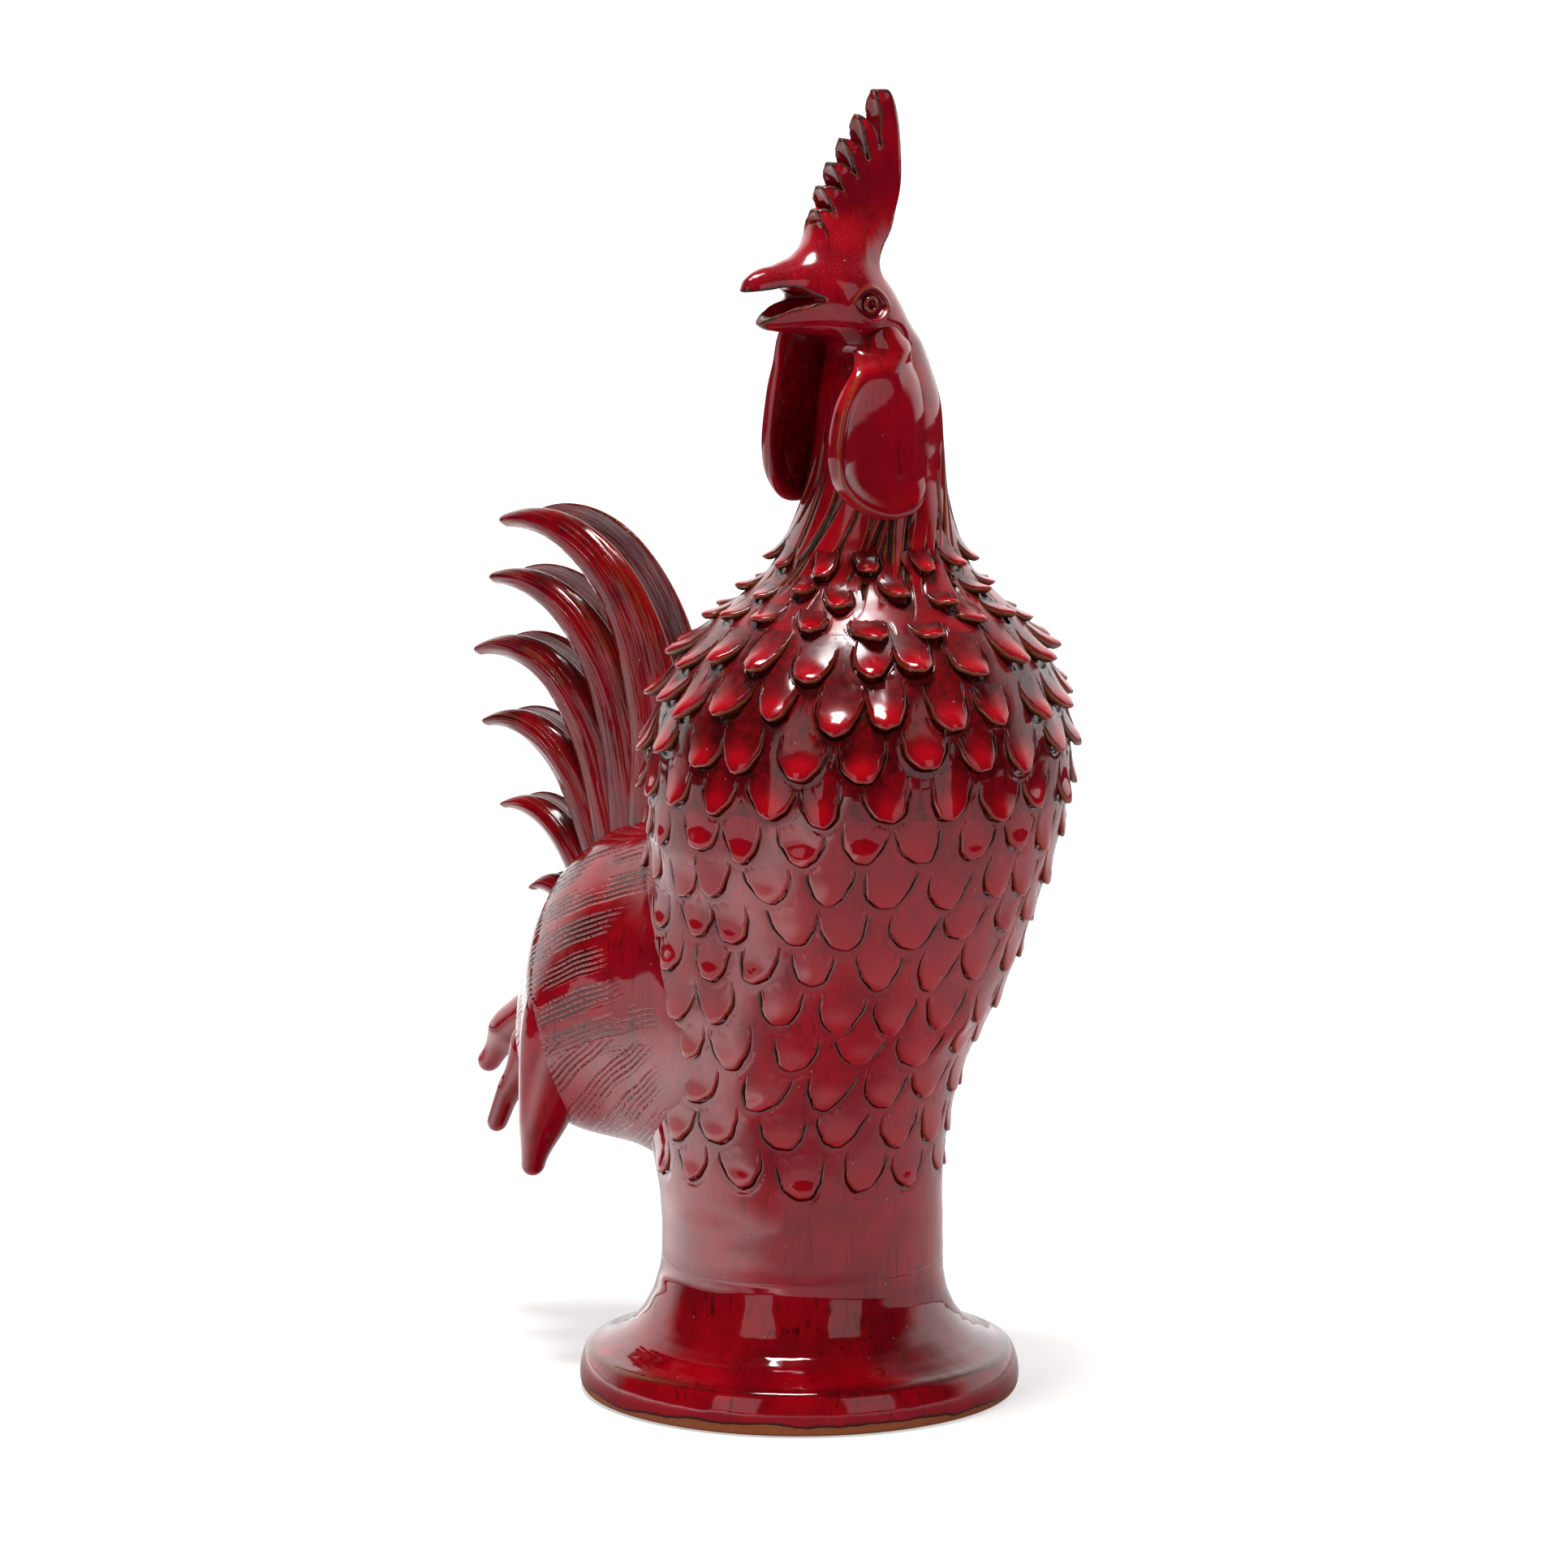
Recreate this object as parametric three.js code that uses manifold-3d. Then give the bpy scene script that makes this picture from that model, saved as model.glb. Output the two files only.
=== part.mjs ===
// Pottery rooster on a thrown foot: hollow earthenware body with lifted scales, turned head and two fans of
// pulled tail feathers. Millimetres, +Z up. The origin is the middle of the foot on the table, the chest looks
// along +X and the bird's left and right sides are mirrored across the XZ plane, apart from the turned head.
import * as THREE from "three";
import { mergeVertices, toCreasedNormals } from "three/addons/utils/BufferGeometryUtils.js";
import Module from "manifold-3d";

const wasm = await Module();
wasm.setup();

// Clay
const gap = 0.3; // between two pieces that were stuck together wet
const wall = 7; // thrown and pinched walls

// Foot
const footMargin = 4.2; // the flange reaches this far out past the thrown belly
const flangeHeight = 16.5;
const footHeight = 50;
const floorThickness = 9;
const ventRadius = 4;
const ventOffset = 26; // the vent through the floor, from the middle

// Body and neck
const waistRadius = 52;
const bellyRise = 190; // from the seam of the foot to the widest part of the belly
const bellyRadius = 77;
const bellyLean = 28; // how far the belly is pushed forward of the foot
const shoulderRise = 57; // from there to the seam of the neck
const shoulderRadius = 47.7;
const shoulderLean = 33;
const neckRise = 87; // from that seam to the seam of the head
const neckRadius = 23;
const throatLean = 37;

const footRadius = bellyRadius + footMargin;
const bellyHeight = footHeight + bellyRise;
const shoulderHeight = bellyHeight + shoulderRise;
const throatHeight = shoulderHeight + neckRise;

// Scales, each a U-shaped cut in the wall with its tip lifted
const scaleCount = 20; // round the body
const scaleRows = 13;
const scaleTopMargin = 11; // plain clay between the seam of the neck and the cuts of the top row
const scaleBottomMargin = 46; // plain clay between the seam of the foot and the cuts of the bottom row
const scaleLength = 12;
const scaleLiftTop = 4.6; // at the shoulder
const scaleLiftBottom = 2.2; // at the waist
const scaleUndercut = 1.8; // how far a knife went up behind each tip

// Hackles, the long feathers of the neck, whose ends hang over the shoulder
const hackleCount = 14;
const hackleRows = 3;
const hackleMargin = 17; // from the seam of the neck up to where the ends of the top row part
const hackleRowSpacing = 8.5;
const hackleLength = 9;
const hackleLift = 5;
const hackleBuild = 1.6; // clay added over the thrown neck where the hackles end
const grooveDepth = 1.7;
const grooveTwist = 50; // degrees from the shoulder to the throat

// Rump
const rumpReach = 124; // rearmost point behind the foot's middle
const rumpFront = -14; // where its hollow form starts inside the body
const rumpHalfWidth = 55;
const rumpRise = 96; // its middle above the seam of the foot
const rumpHalfHeight = 63;
const innerVentRadius = 7; // hole from the body into the hollow rump

// Saddle feathers, the fingers that hang from the rump
const fingerRadius = 4.6; // near the tip

// Tail
const featherThickness = 6.5;
const fanSpacing = 11; // from the mirror plane to the front feather of each fan
const fanStep = 1.1; // each feather lies this much further in than the one above
const fanTilt = 11; // degrees that each feather is rolled over the next
const featherRoot = 11; // hidden length in the rump

const rumpMiddle = footHeight + rumpRise;

// Head
const headTurn = -105; // degrees from the chest to the beak
const headOffset = new THREE.Vector3(-2, -10, 25); // head's middle from the throat
const headLength = 38;
const headWidth = 40;
const headHeight = 44;
const skullAhead = 8; // the head's form lies this far ahead of the middle of the throat
const beakLength = 50; // from the head's middle
const beakWidth = 30;
const eyeRadius = 3.8;
const eyeHeight = 2.5;
const eyeAhead = 5;
const eyeDrop = 3; // below the head's middle
const socketRadius = 6.2;

// Comb
const toothCount = 6;
const combTop = 72; // first tooth above the head's middle
const combDrop = 42; // from the first tooth down to the last
const combReach = 26; // from the first tooth forward to the last
const combBack = 17; // rear edge behind the head's middle
const combThickness = 11;
const tipPinch = 0.55; // share of its thickness that a tooth loses at its tip

// Wattles
const wattleLength = 66;
const wattleWidth = 46;
const wattleThickness = 9;
const wattleDrop = 14; // its root below the head's middle
const wattleSpread = 27; // from the head's middle plane to the middle of a hanging wattle
const wattleTurn = { left: 0, right: 15 }; // degrees that the front edge is turned in

const degrees = (angle) => THREE.MathUtils.degToRad(angle);
const mix = THREE.MathUtils.lerp;
const wobble = (seed) => Math.sin(seed * 12.9898 + 4.1) * Math.cos(seed * 7.233); // hand made, from -1 to 1

// Solids and meshes

function toSolid(geometry) {
  const bare = geometry.clone();
  bare.deleteAttribute("normal");
  bare.deleteAttribute("uv");
  const merged = mergeVertices(bare, 1e-4);
  return new wasm.Manifold(new wasm.Mesh({
    numProp: 3,
    vertProperties: new Float32Array(merged.attributes.position.array),
    triVerts: new Uint32Array(merged.index.array),
  }));
}

function toGeometry(solid) {
  const { vertProperties, triVerts } = solid.getMesh();
  const geometry = new THREE.BufferGeometry();
  geometry.setAttribute("position", new THREE.BufferAttribute(new Float32Array(vertProperties), 3));
  geometry.setIndex(new THREE.BufferAttribute(new Uint32Array(triVerts), 1));
  return toCreasedNormals(geometry, degrees(35));
}

const largestPiece = (solid) => solid.decompose().reduce((a, b) => (a.volume() > b.volume() ? a : b));

// A closed surface through rings of points, with the two end rings closed by fans
function loft(rings) {
  const count = rings[0].length;
  const points = rings.flat();
  const faces = [];
  for (let k = 0; k + 1 < rings.length; k += 1) {
    for (let i = 0; i < count; i += 1) {
      const a = k * count + i;
      const b = k * count + (i + 1) % count;
      faces.push(a, b, b + count, a, b + count, a + count);
    }
  }
  for (const [ring, first, last] of [[rings[0], 0, false], [rings.at(-1), (rings.length - 1) * count, true]]) {
    const middle = ring.reduce((sum, point) => sum.add(point), new THREE.Vector3()).divideScalar(count);
    points.push(middle);
    for (let i = 0; i < count; i += 1) {
      const a = first + i;
      const b = first + (i + 1) % count;
      faces.push(...(last ? [a, b, points.length - 1] : [b, a, points.length - 1]));
    }
  }
  let volume = 0;
  for (let i = 0; i < faces.length; i += 3) {
    const [a, b, c] = [points[faces[i]], points[faces[i + 1]], points[faces[i + 2]]];
    volume += a.dot(b.clone().cross(c));
  }
  const geometry = new THREE.BufferGeometry().setFromPoints(points);
  geometry.setIndex(volume > 0 ? faces : faces.reverse());
  return geometry;
}

function ellipsoid(middle, radii, grow = 0, around = 20) {
  const ball = new THREE.SphereGeometry(1, around, Math.round(around * 0.6));
  ball.rotateX(Math.PI / 2);
  ball.scale(radii[0] + grow, radii[1] + grow, radii[2] + grow);
  return ball.translate(middle[0], middle[1], middle[2]);
}

// The thrown line of body and neck: height, lean and radius, each a share of the way from one named size to
// the next
const bellyLine = [[0, 0.05, 0], [0.23, 0.09, 0], [0.39, 0.33, 0.07], [0.55, 0.62, 0.4], [0.71, 0.83, 0.66],
  [0.87, 0.94, 0.94], [1, 1, 1]];
const shoulderLine = [[0.38, 0.28, 0.87], [0.66, 0.55, 0.61], [0.88, 0.88, 0.26], [1, 1, 0]];
const neckLine = [[0.09, 0.12, 0.656], [0.27, 0.34, 0.328], [0.44, 0.67, 0.13], [0.64, 1, 0.02], [0.84, 1, -0.045],
  [1, 0.67, -0.175]];
const lineCurve = new THREE.CatmullRomCurve3([
  ...bellyLine.map(([up, lean, out]) => new THREE.Vector3(
    mix(waistRadius, bellyRadius, out), bellyLean * lean, footHeight + bellyRise * up)),
  ...shoulderLine.map(([up, lean, out]) => new THREE.Vector3(
    mix(shoulderRadius, bellyRadius, out), mix(bellyLean, shoulderLean, lean), bellyHeight + shoulderRise * up)),
  ...neckLine.map(([up, lean, out]) => new THREE.Vector3(
    mix(neckRadius, shoulderRadius, out), mix(shoulderLean, throatLean, lean), shoulderHeight + neckRise * up)),
]);
const line = lineCurve.getPoints(28).map((point) => ({ radius: point.x, lean: point.y, height: point.z }));

function sectionAt(height) {
  const above = line.findIndex((station) => station.height > height);
  const k = above < 0 ? line.length - 1 : Math.max(1, above);
  const [low, high] = [line[k - 1], line[k]];
  const t = (height - low.height) / (high.height - low.height);
  return { radius: mix(low.radius, high.radius, t), lean: mix(low.lean, high.lean, t), height };
}

const sectionsBetween = (low, high) => [
  sectionAt(low),
  ...line.filter((station) => station.height > low + 1 && station.height < high - 1),
  sectionAt(high),
];

function circle(section, grow, count) {
  return Array.from({ length: count }, (_, i) => {
    const angle = (i / count) * 2 * Math.PI;
    const radius = section.radius + grow;
    return new THREE.Vector3(
      section.lean + radius * Math.cos(angle), radius * Math.sin(angle), section.height);
  });
}

const thrown = (low, high, grow, count = 44) =>
  loft(sectionsBetween(low, high).map((section) => circle(section, grow, count)));

const hollowBetween = (low, high) =>
  loft(sectionsBetween(low, high).filter((_, k, all) => k % 2 === 0 || k === all.length - 1)
    .map((section) => circle(section, -wall, 22)));

// A point on the thrown skin, or standing off it
function skinPoint(angle, height, out = 0) {
  const onSkin = ({ radius, lean, height: z }) =>
    new THREE.Vector3(lean + radius * Math.cos(angle), radius * Math.sin(angle), z);
  const point = onSkin(sectionAt(height));
  const up = onSkin(sectionAt(height + 2)).sub(point);
  const round = new THREE.Vector3(-Math.sin(angle), Math.cos(angle), 0);
  return point.addScaledVector(round.cross(up).normalize(), out);
}

// Two rings of points along one row of U-shaped cuts: behind the lifted tips, and along their edge. Odd rows
// stand half a scale further round, and their points are spread so that both kinds of row meet in order.
const scaleSpread = [-0.5, -0.31, 0, 0.31];
const shiftedSpread = [-0.5, -0.19, 0, 0.19];

function cutRow({ row, count, height, length, lift, undercut, twist = 0, build = 0, flat = () => false }) {
  const odd = row % 2 === 1;
  const rings = [[], []];
  for (let column = 0; column < count; column += 1) {
    for (const across of odd ? shiftedSpread : scaleSpread) {
      const fromTip = odd ? 0.5 - Math.abs(across) : Math.abs(across);
      const scale = odd && across >= 0 ? (column + 1) % count : column;
      const hang = Math.sqrt(Math.max(0, 1 - (2 * fromTip) ** 2));
      const own = 1 + 0.12 * wobble(row * 31 + scale);
      const slide = 0.05 * wobble(row * 17 + scale + 0.3) * hang;
      const angle = ((column + across + slide) / count) * 2 * Math.PI + twist;
      const z = height - length * own * hang;
      const raised = flat(skinPoint(angle, z)) ? 0.25 : Math.max(0.25, lift * own * hang);
      rings[0].push(skinPoint(angle, z + 0.4 + undercut * hang, build));
      rings[1].push(skinPoint(angle, z, build + raised));
    }
  }
  return rings;
}

// Rump: a hollow pinched bulge, its sections square to X

// Shares of the rump: distance back, rise of the middle, height and width
const rumpShape = [[0, 0, 1, 1], [0.33, 0, 0.99, 1], [0.56, -0.04, 0.96, 0.92], [0.74, -0.12, 0.85, 0.76],
  [0.87, -0.19, 0.64, 0.56], [0.95, -0.24, 0.44, 0.38], [1, -0.26, 0.2, 0.16]];

function rumpSection([along, rise, tall, wide], grow) {
  const x = mix(rumpFront, -rumpReach, along) - grow * along;
  const count = 22;
  return Array.from({ length: count }, (_, i) => {
    const angle = (i / count) * 2 * Math.PI;
    const side = Math.sign(Math.cos(angle)) * Math.abs(Math.cos(angle)) ** 0.9;
    const up = Math.sign(Math.sin(angle)) * Math.abs(Math.sin(angle)) ** 0.9;
    return new THREE.Vector3(x, side * (rumpHalfWidth * wide + grow),
      rumpMiddle + rumpHalfHeight * rise + up * (rumpHalfHeight * tall + grow));
  });
}

function rumpForm(grow) {
  const curves = rumpShape[0].map((_, column) => rumpShape.map((row) => row[column]));
  const spline = (values, t) => {
    const path = new THREE.SplineCurve(values.map((value, i) => new THREE.Vector2(i, value)));
    return path.getPoint(t).y;
  };
  const steps = 9;
  return loft(Array.from({ length: steps + 1 }, (_, k) =>
    rumpSection(curves.map((values) => spline(values, k / steps)), grow)));
}

const nearRump = (point, margin) => {
  const along = (rumpFront - point.x) / (rumpFront + rumpReach);
  if (along < 0) {
    return false;
  }
  const side = point.y / (rumpHalfWidth + margin);
  const up = (point.z - rumpMiddle) / (rumpHalfHeight + margin);
  return side * side + up * up < 1;
};

// Pieces

function foot() {
  const lip = 2.5;
  const profile = [[0, 0], [footRadius - 1.3, 0], [footRadius, 5], [footRadius - 0.3, 9],
    [footRadius - lip, flangeHeight - 2], [footRadius - 6, flangeHeight], [footRadius - 11, flangeHeight + 2.5],
    [footRadius - 18, flangeHeight + 6.5], [waistRadius + 6.5, flangeHeight + 11],
    [waistRadius + 3, flangeHeight + 17], [waistRadius, footHeight - 4], [waistRadius, footHeight],
    [waistRadius - wall, footHeight], [waistRadius - wall, flangeHeight + 8],
    [waistRadius - wall - 8, floorThickness], [0, floorThickness]];
  const pot = new THREE.LatheGeometry(profile.map(([x, y]) => new THREE.Vector2(x, y)), 36).rotateX(Math.PI / 2);
  const vent = new THREE.CylinderGeometry(ventRadius, ventRadius, 4 * floorThickness, 12).rotateX(Math.PI / 2);
  return toSolid(pot).subtract(toSolid(vent.translate(ventOffset, 0, 0)));
}

function scaledSkin() {
  const scaleTop = shoulderHeight - scaleTopMargin;
  const scaleBottom = footHeight + scaleBottomMargin;
  const pointCount = scaleCount * scaleSpread.length;
  const plain = (height) => Array.from({ length: pointCount }, (_, i) => {
    const column = Math.floor(i / scaleSpread.length);
    const angle = ((column + scaleSpread[i % scaleSpread.length]) / scaleCount) * 2 * Math.PI;
    return skinPoint(angle, height);
  });
  const rings = [plain(footHeight + gap), plain(mix(footHeight, scaleBottom, 0.5))];
  for (let row = scaleRows - 1; row >= 0; row -= 1) {
    const down = row / (scaleRows - 1);
    rings.push(...cutRow({
      row,
      count: scaleCount,
      height: mix(scaleTop, scaleBottom, down),
      length: scaleLength,
      lift: mix(scaleLiftTop, scaleLiftBottom, Math.min(1, down * 1.5)),
      undercut: scaleUndercut * (1 - down),
      flat: (point) => nearRump(point, 3),
    }));
  }
  rings.push(plain(scaleTop + 4), plain(shoulderHeight));
  return loft(rings);
}

function body() {
  const hollow = toSolid(hollowBetween(footHeight - 2, shoulderHeight + 2));
  const seat = toSolid(rumpForm(gap)).subtract(toSolid(thrown(footHeight, shoulderHeight, 0.02)));
  const hole = new THREE.CylinderGeometry(innerVentRadius, innerVentRadius, bellyRadius, 12).rotateZ(Math.PI / 2);
  hole.translate(-bellyRadius * 0.6, 0, rumpMiddle);
  return largestPiece(toSolid(scaledSkin()).subtract(hollow).subtract(seat).subtract(toSolid(hole)));
}

function hackledSkin() {
  const hackleTop = shoulderHeight + hackleMargin;
  const rings = [];
  const rise = (height) => (height - shoulderHeight) / (throatHeight - shoulderHeight);
  for (let row = hackleRows - 1; row >= 0; row -= 1) {
    const height = hackleTop - row * hackleRowSpacing;
    const cut = cutRow({
      row,
      count: hackleCount,
      height,
      length: hackleLength,
      lift: hackleLift,
      undercut: 1,
      twist: degrees(grooveTwist) * rise(height),
      build: hackleBuild,
    });
    rings.push(...(row === hackleRows - 1 ? cut.slice(1) : cut));
  }
  const steps = 6;
  for (let k = 1; k <= steps; k += 1) {
    const height = mix(hackleTop, throatHeight, k / steps);
    const depth = grooveDepth * (k < steps ? 1 : 0.3);
    rings.push(rings[0].map((_, i) => {
      const angle = (i / rings[0].length - 0.5 / hackleCount) * 2 * Math.PI + degrees(grooveTwist) * rise(height);
      return skinPoint(angle, height, i % scaleSpread.length === 0 ? -depth : 0);
    }));
  }
  return loft(rings);
}

function neck() {
  const hollow = toSolid(hollowBetween(shoulderHeight - 2, throatHeight + 2));
  const shoulder = toSolid(thrown(footHeight, shoulderHeight + gap, gap));
  return largestPiece(toSolid(hackledSkin()).subtract(hollow).subtract(shoulder));
}

function rump() {
  const shell = toSolid(rumpForm(0)).subtract(toSolid(rumpForm(-wall)
    .translate(wall, 0, 0)));
  return largestPiece(shell.subtract(toSolid(thrown(footHeight, shoulderHeight, gap))));
}

// Fingers: side as a share of the rump's half width, then root, knee and tip as distance behind the rump's
// rearmost point, distance below its middle, and thickness as a share of the finger's radius
const centreFinger = { side: 0, root: [-11, 12, 1.74], knee: [17, 29, 0.83], tip: [30.5, 43.5, 1.07] };
const rearFinger = { side: 0.436, root: [-16, 22, 2.4], knee: [-3, 44, 1.3], tip: [4.5, 60, 0.83] };
const flankFinger = { side: 0.818, root: [-45, 36, 3.04], knee: [-38, 54, 1.6], tip: [-32.5, 67.5, 0.85] };
const fingers = {
  finger_centre: [centreFinger, 0],
  finger_right_rear: [rearFinger, -1],
  finger_right_flank: [flankFinger, -1],
  finger_left_rear: [rearFinger, 1],
  finger_left_flank: [flankFinger, 1],
};

function finger([{ side, root, knee, tip }, sign]) {
  const path = new THREE.CatmullRomCurve3([root, knee, tip].map(([behind, below]) =>
    new THREE.Vector3(-rumpReach - behind, sign * side * rumpHalfWidth, rumpMiddle - below)));
  const size = new THREE.SplineCurve([root, knee, tip].map(([, , share], i) =>
    new THREE.Vector2(i, share * fingerRadius)));
  const steps = 5;
  const count = 8;
  const rings = [];
  for (let k = 0; k <= steps + 2; k += 1) {
    const t = Math.min(1, k / steps);
    const cap = k - steps; // two more rings round off the tip
    const along = path.getTangent(t);
    const middle = path.getPoint(t);
    let radius = size.getPoint(t).y;
    if (cap > 0) {
      middle.addScaledVector(along, radius * Math.sin((cap * Math.PI) / 5));
      radius *= Math.cos((cap * Math.PI) / 5);
    }
    const across = new THREE.Vector3(0, 1, 0);
    const up = along.clone().cross(across).normalize();
    rings.push(Array.from({ length: count }, (_, i) => {
      const angle = (i / count) * 2 * Math.PI;
      return middle.clone().addScaledVector(across, radius * Math.cos(angle))
        .addScaledVector(up, 0.8 * radius * Math.sin(angle));
    }));
  }
  return largestPiece(toSolid(loft(rings)).subtract(toSolid(rumpForm(gap))));
}

// Tail feathers, front to rear: root as shares of the rump's length and half height, then length, lean of the
// root and of the tip in degrees from upright, and width
const feathers = [[0.427, 0.968, 150, -2, 103, 24], [0.536, 0.92, 124, 5, 99, 22], [0.632, 0.857, 104, 12, 111, 20],
  [0.705, 0.746, 77, 22, 109, 17], [0.777, 0.556, 49, 34, 107, 14], [0.818, 0.349, 24, 50, 120, 12]];

// Section of a feather: across, outward, and which way its clearance grows
const featherSection = [[-0.5, -0.4, -1], [-0.32, 0.3, 1], [0, 0.5, 1], [0.32, 0.3, 1], [0.5, -0.4, -1],
  [0.26, -0.3, -1], [-0.26, -0.3, -1]];

function featherForm(index, side, grow) {
  const [back, up, length, rootLean, tipLean, width] = feathers[index];
  const outward = new THREE.Vector3(0, side, 0);
  const steps = 7;
  const start = degrees(rootLean);
  const middle = new THREE.Vector3(
    mix(rumpFront, -rumpReach, back) + featherRoot * Math.sin(start),
    side * (fanSpacing - fanStep * index),
    rumpMiddle + rumpHalfHeight * up - featherRoot * Math.cos(start));
  const rings = [];
  const fine = 8;
  const whole = length + featherRoot;
  for (let k = 0; k <= steps * fine; k += 1) {
    const s = (k / (steps * fine)) * whole;
    const u = Math.max(0, (s - featherRoot) / length);
    const lean = degrees(mix(rootLean, tipLean, u ** 1.8));
    const along = new THREE.Vector3(-Math.sin(lean), 0, Math.cos(lean));
    if (k % fine === 0) {
      const rear = new THREE.Vector3(-Math.cos(lean), 0, -Math.sin(lean));
      const roll = degrees(fanTilt);
      const across = rear.clone().multiplyScalar(Math.cos(roll)).addScaledVector(outward, Math.sin(roll));
      const out = outward.clone().multiplyScalar(Math.cos(roll)).addScaledVector(rear, -Math.sin(roll));
      const broad = width * (1 - 0.8 * u ** 2.6);
      const thick = featherThickness * (1 - 0.4 * u ** 2);
      rings.push(featherSection.map(([a, b, away]) => middle.clone()
        .addScaledVector(across, a * broad + Math.sign(a) * grow * 1.5)
        .addScaledVector(out, b * thick + away * grow)));
    }
    middle.addScaledVector(along, whole / (steps * fine));
  }
  const tip = middle.clone();
  const last = rings.at(-1);
  const lean = degrees(tipLean);
  const ahead = new THREE.Vector3(-Math.sin(lean), 0, Math.cos(lean));
  rings.push(last.map((point) => point.clone().lerp(tip, 0.45).addScaledVector(ahead, 1.6 + grow)));
  return toSolid(loft(rings));
}

function feather(index, side) {
  let blade = featherForm(index, side, 0);
  for (let above = 0; above < index; above += 1) {
    blade = blade.subtract(featherForm(above, side, gap));
  }
  return largestPiece(blade.subtract(toSolid(rumpForm(gap)))
    .subtract(toSolid(thrown(footHeight, shoulderHeight, gap + 5))));
}

// Head, in its own frame: x to the beak, y to the bird's left, z up, from the middle of the head

const turn = degrees(headTurn);
const headFrame = new THREE.Matrix4().makeRotationZ(turn)
  .setPosition(new THREE.Vector3(throatLean, 0, throatHeight).add(headOffset));
const toHead = headFrame.clone().invert();

const skull = (grow) =>
  toSolid(ellipsoid([skullAhead, 0, 0], [headLength / 2, headWidth / 2, headHeight / 2], grow, 18));

function nape(grow) {
  const throat = circle(sectionAt(throatHeight), grow, 20).map((point) => point.applyMatrix4(toHead));
  const crown = new THREE.Vector3(skullAhead * 0.75, 0, headHeight * 0.3);
  const rings = [[0, 0], [0.25, 0.16], [0.5, 0.36], [0.75, 0.56], [1, 0.78]].map(([rise, draw]) =>
    throat.map((point) => {
      const drawn = point.clone().lerp(new THREE.Vector3(crown.x, crown.y, point.z), draw);
      drawn.z = mix(point.z + gap - grow, crown.z + grow, rise);
      return drawn;
    }));
  return toSolid(loft(rings));
}

const headForm = (grow) => skull(grow).add(nape(grow));

const socket = (side, grow) => {
  const dish = new THREE.SphereGeometry(1, 14, 8).scale(socketRadius + grow, 3 + grow, socketRadius * 0.8 + grow);
  return toSolid(dish.translate(eyeAhead, side * headWidth * 0.475, -eyeDrop));
};

function head() {
  const throat = toSolid(thrown(shoulderHeight, throatHeight + gap, 3).applyMatrix4(toHead));
  return largestPiece(headForm(0).subtract(throat).subtract(socket(1, 0)).subtract(socket(-1, 0)));
}

function eye(side) {
  const profile = [[0, 0], [1, 0], [1, 0.64], [0.78, 1], [0.5, 0.84], [0.3, 0.44], [0, 0.4]]
    .map(([out, up]) => [eyeRadius * out, eyeHeight * up]);
  const pellet = new THREE.LatheGeometry(profile.map(([x, y]) => new THREE.Vector2(x, y)), 12);
  if (side < 0) {
    pellet.rotateX(Math.PI);
  }
  const pressed = toSolid(pellet.translate(eyeAhead, side * (headWidth * 0.475 - 3), -eyeDrop));
  const bed = headForm(gap).subtract(socket(side, -gap));
  return largestPiece(pressed.subtract(bed));
}

// Beak halves: share of the beak's length, ridge height, mouth height and share of the half width
const upperBeak = [[0.24, 21, -2, 0.95], [0.4, 19.5, -1, 0.85], [0.56, 14.5, 2, 0.72], [0.72, 11.5, 3.5, 0.52],
  [0.86, 9, 2.5, 0.32], [0.96, 5.5, 0.5, 0.17], [1, 3.5, 0, 0.09]];
const lowerBeak = [[0.24, -3, -15, 0.85], [0.44, -2, -14, 0.8], [0.6, -3.5, -13.5, 0.65], [0.74, -5.5, -13, 0.47],
  [0.84, -8, -12.5, 0.3], [0.9, -9.5, -12, 0.13]];

function beakForm(stations, over, grow) {
  const half = 5;
  return toSolid(loft(stations.map(([ahead, top, bottom, wide]) => {
    const x = ahead * beakLength + (ahead > 0.8 ? grow : 0);
    const reach = (beakWidth / 2) * wide + grow;
    const flat = over ? bottom - grow : top + grow;
    const crest = over ? top + grow : bottom - grow;
    return Array.from({ length: half * 2 }, (_, i) => {
      const angle = (i / half) * Math.PI;
      const arch = Math.sin(angle) > -0.01 ? Math.sin(angle) ** 0.8 : -0.08;
      return new THREE.Vector3(x, reach * Math.cos(angle), mix(flat, crest, arch));
    });
  })));
}

function beakUpper() {
  return largestPiece(beakForm(upperBeak, true, 0).subtract(headForm(gap)));
}

function beakLower() {
  const trough = ellipsoid([beakLength * 0.66, 0, 0], [17, beakWidth * 0.24, 8.5], 0, 12);
  return largestPiece(beakForm(lowerBeak, false, 0).subtract(toSolid(trough)).subtract(headForm(gap))
    .subtract(beakForm(upperBeak, true, gap)));
}

// Comb: a slab whose front edge is cut into teeth like flames, each gouged hollow and pinched thin at its tip

const toothShares = Array.from({ length: toothCount }, (_, tooth) => tooth / (toothCount - 1));

function toothTip(share) {
  return new THREE.Vector2(-7 + combReach * (1 - (1 - share) ** 1.5), combTop - combDrop * share);
}

function toothNotch(share) {
  const back = combReach * 0.16 * Math.sin(Math.PI * 0.85 * share);
  return toothTip(share).sub(new THREE.Vector2(back, combDrop * mix(0.47, 0.22, share ** 0.7)));
}

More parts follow.
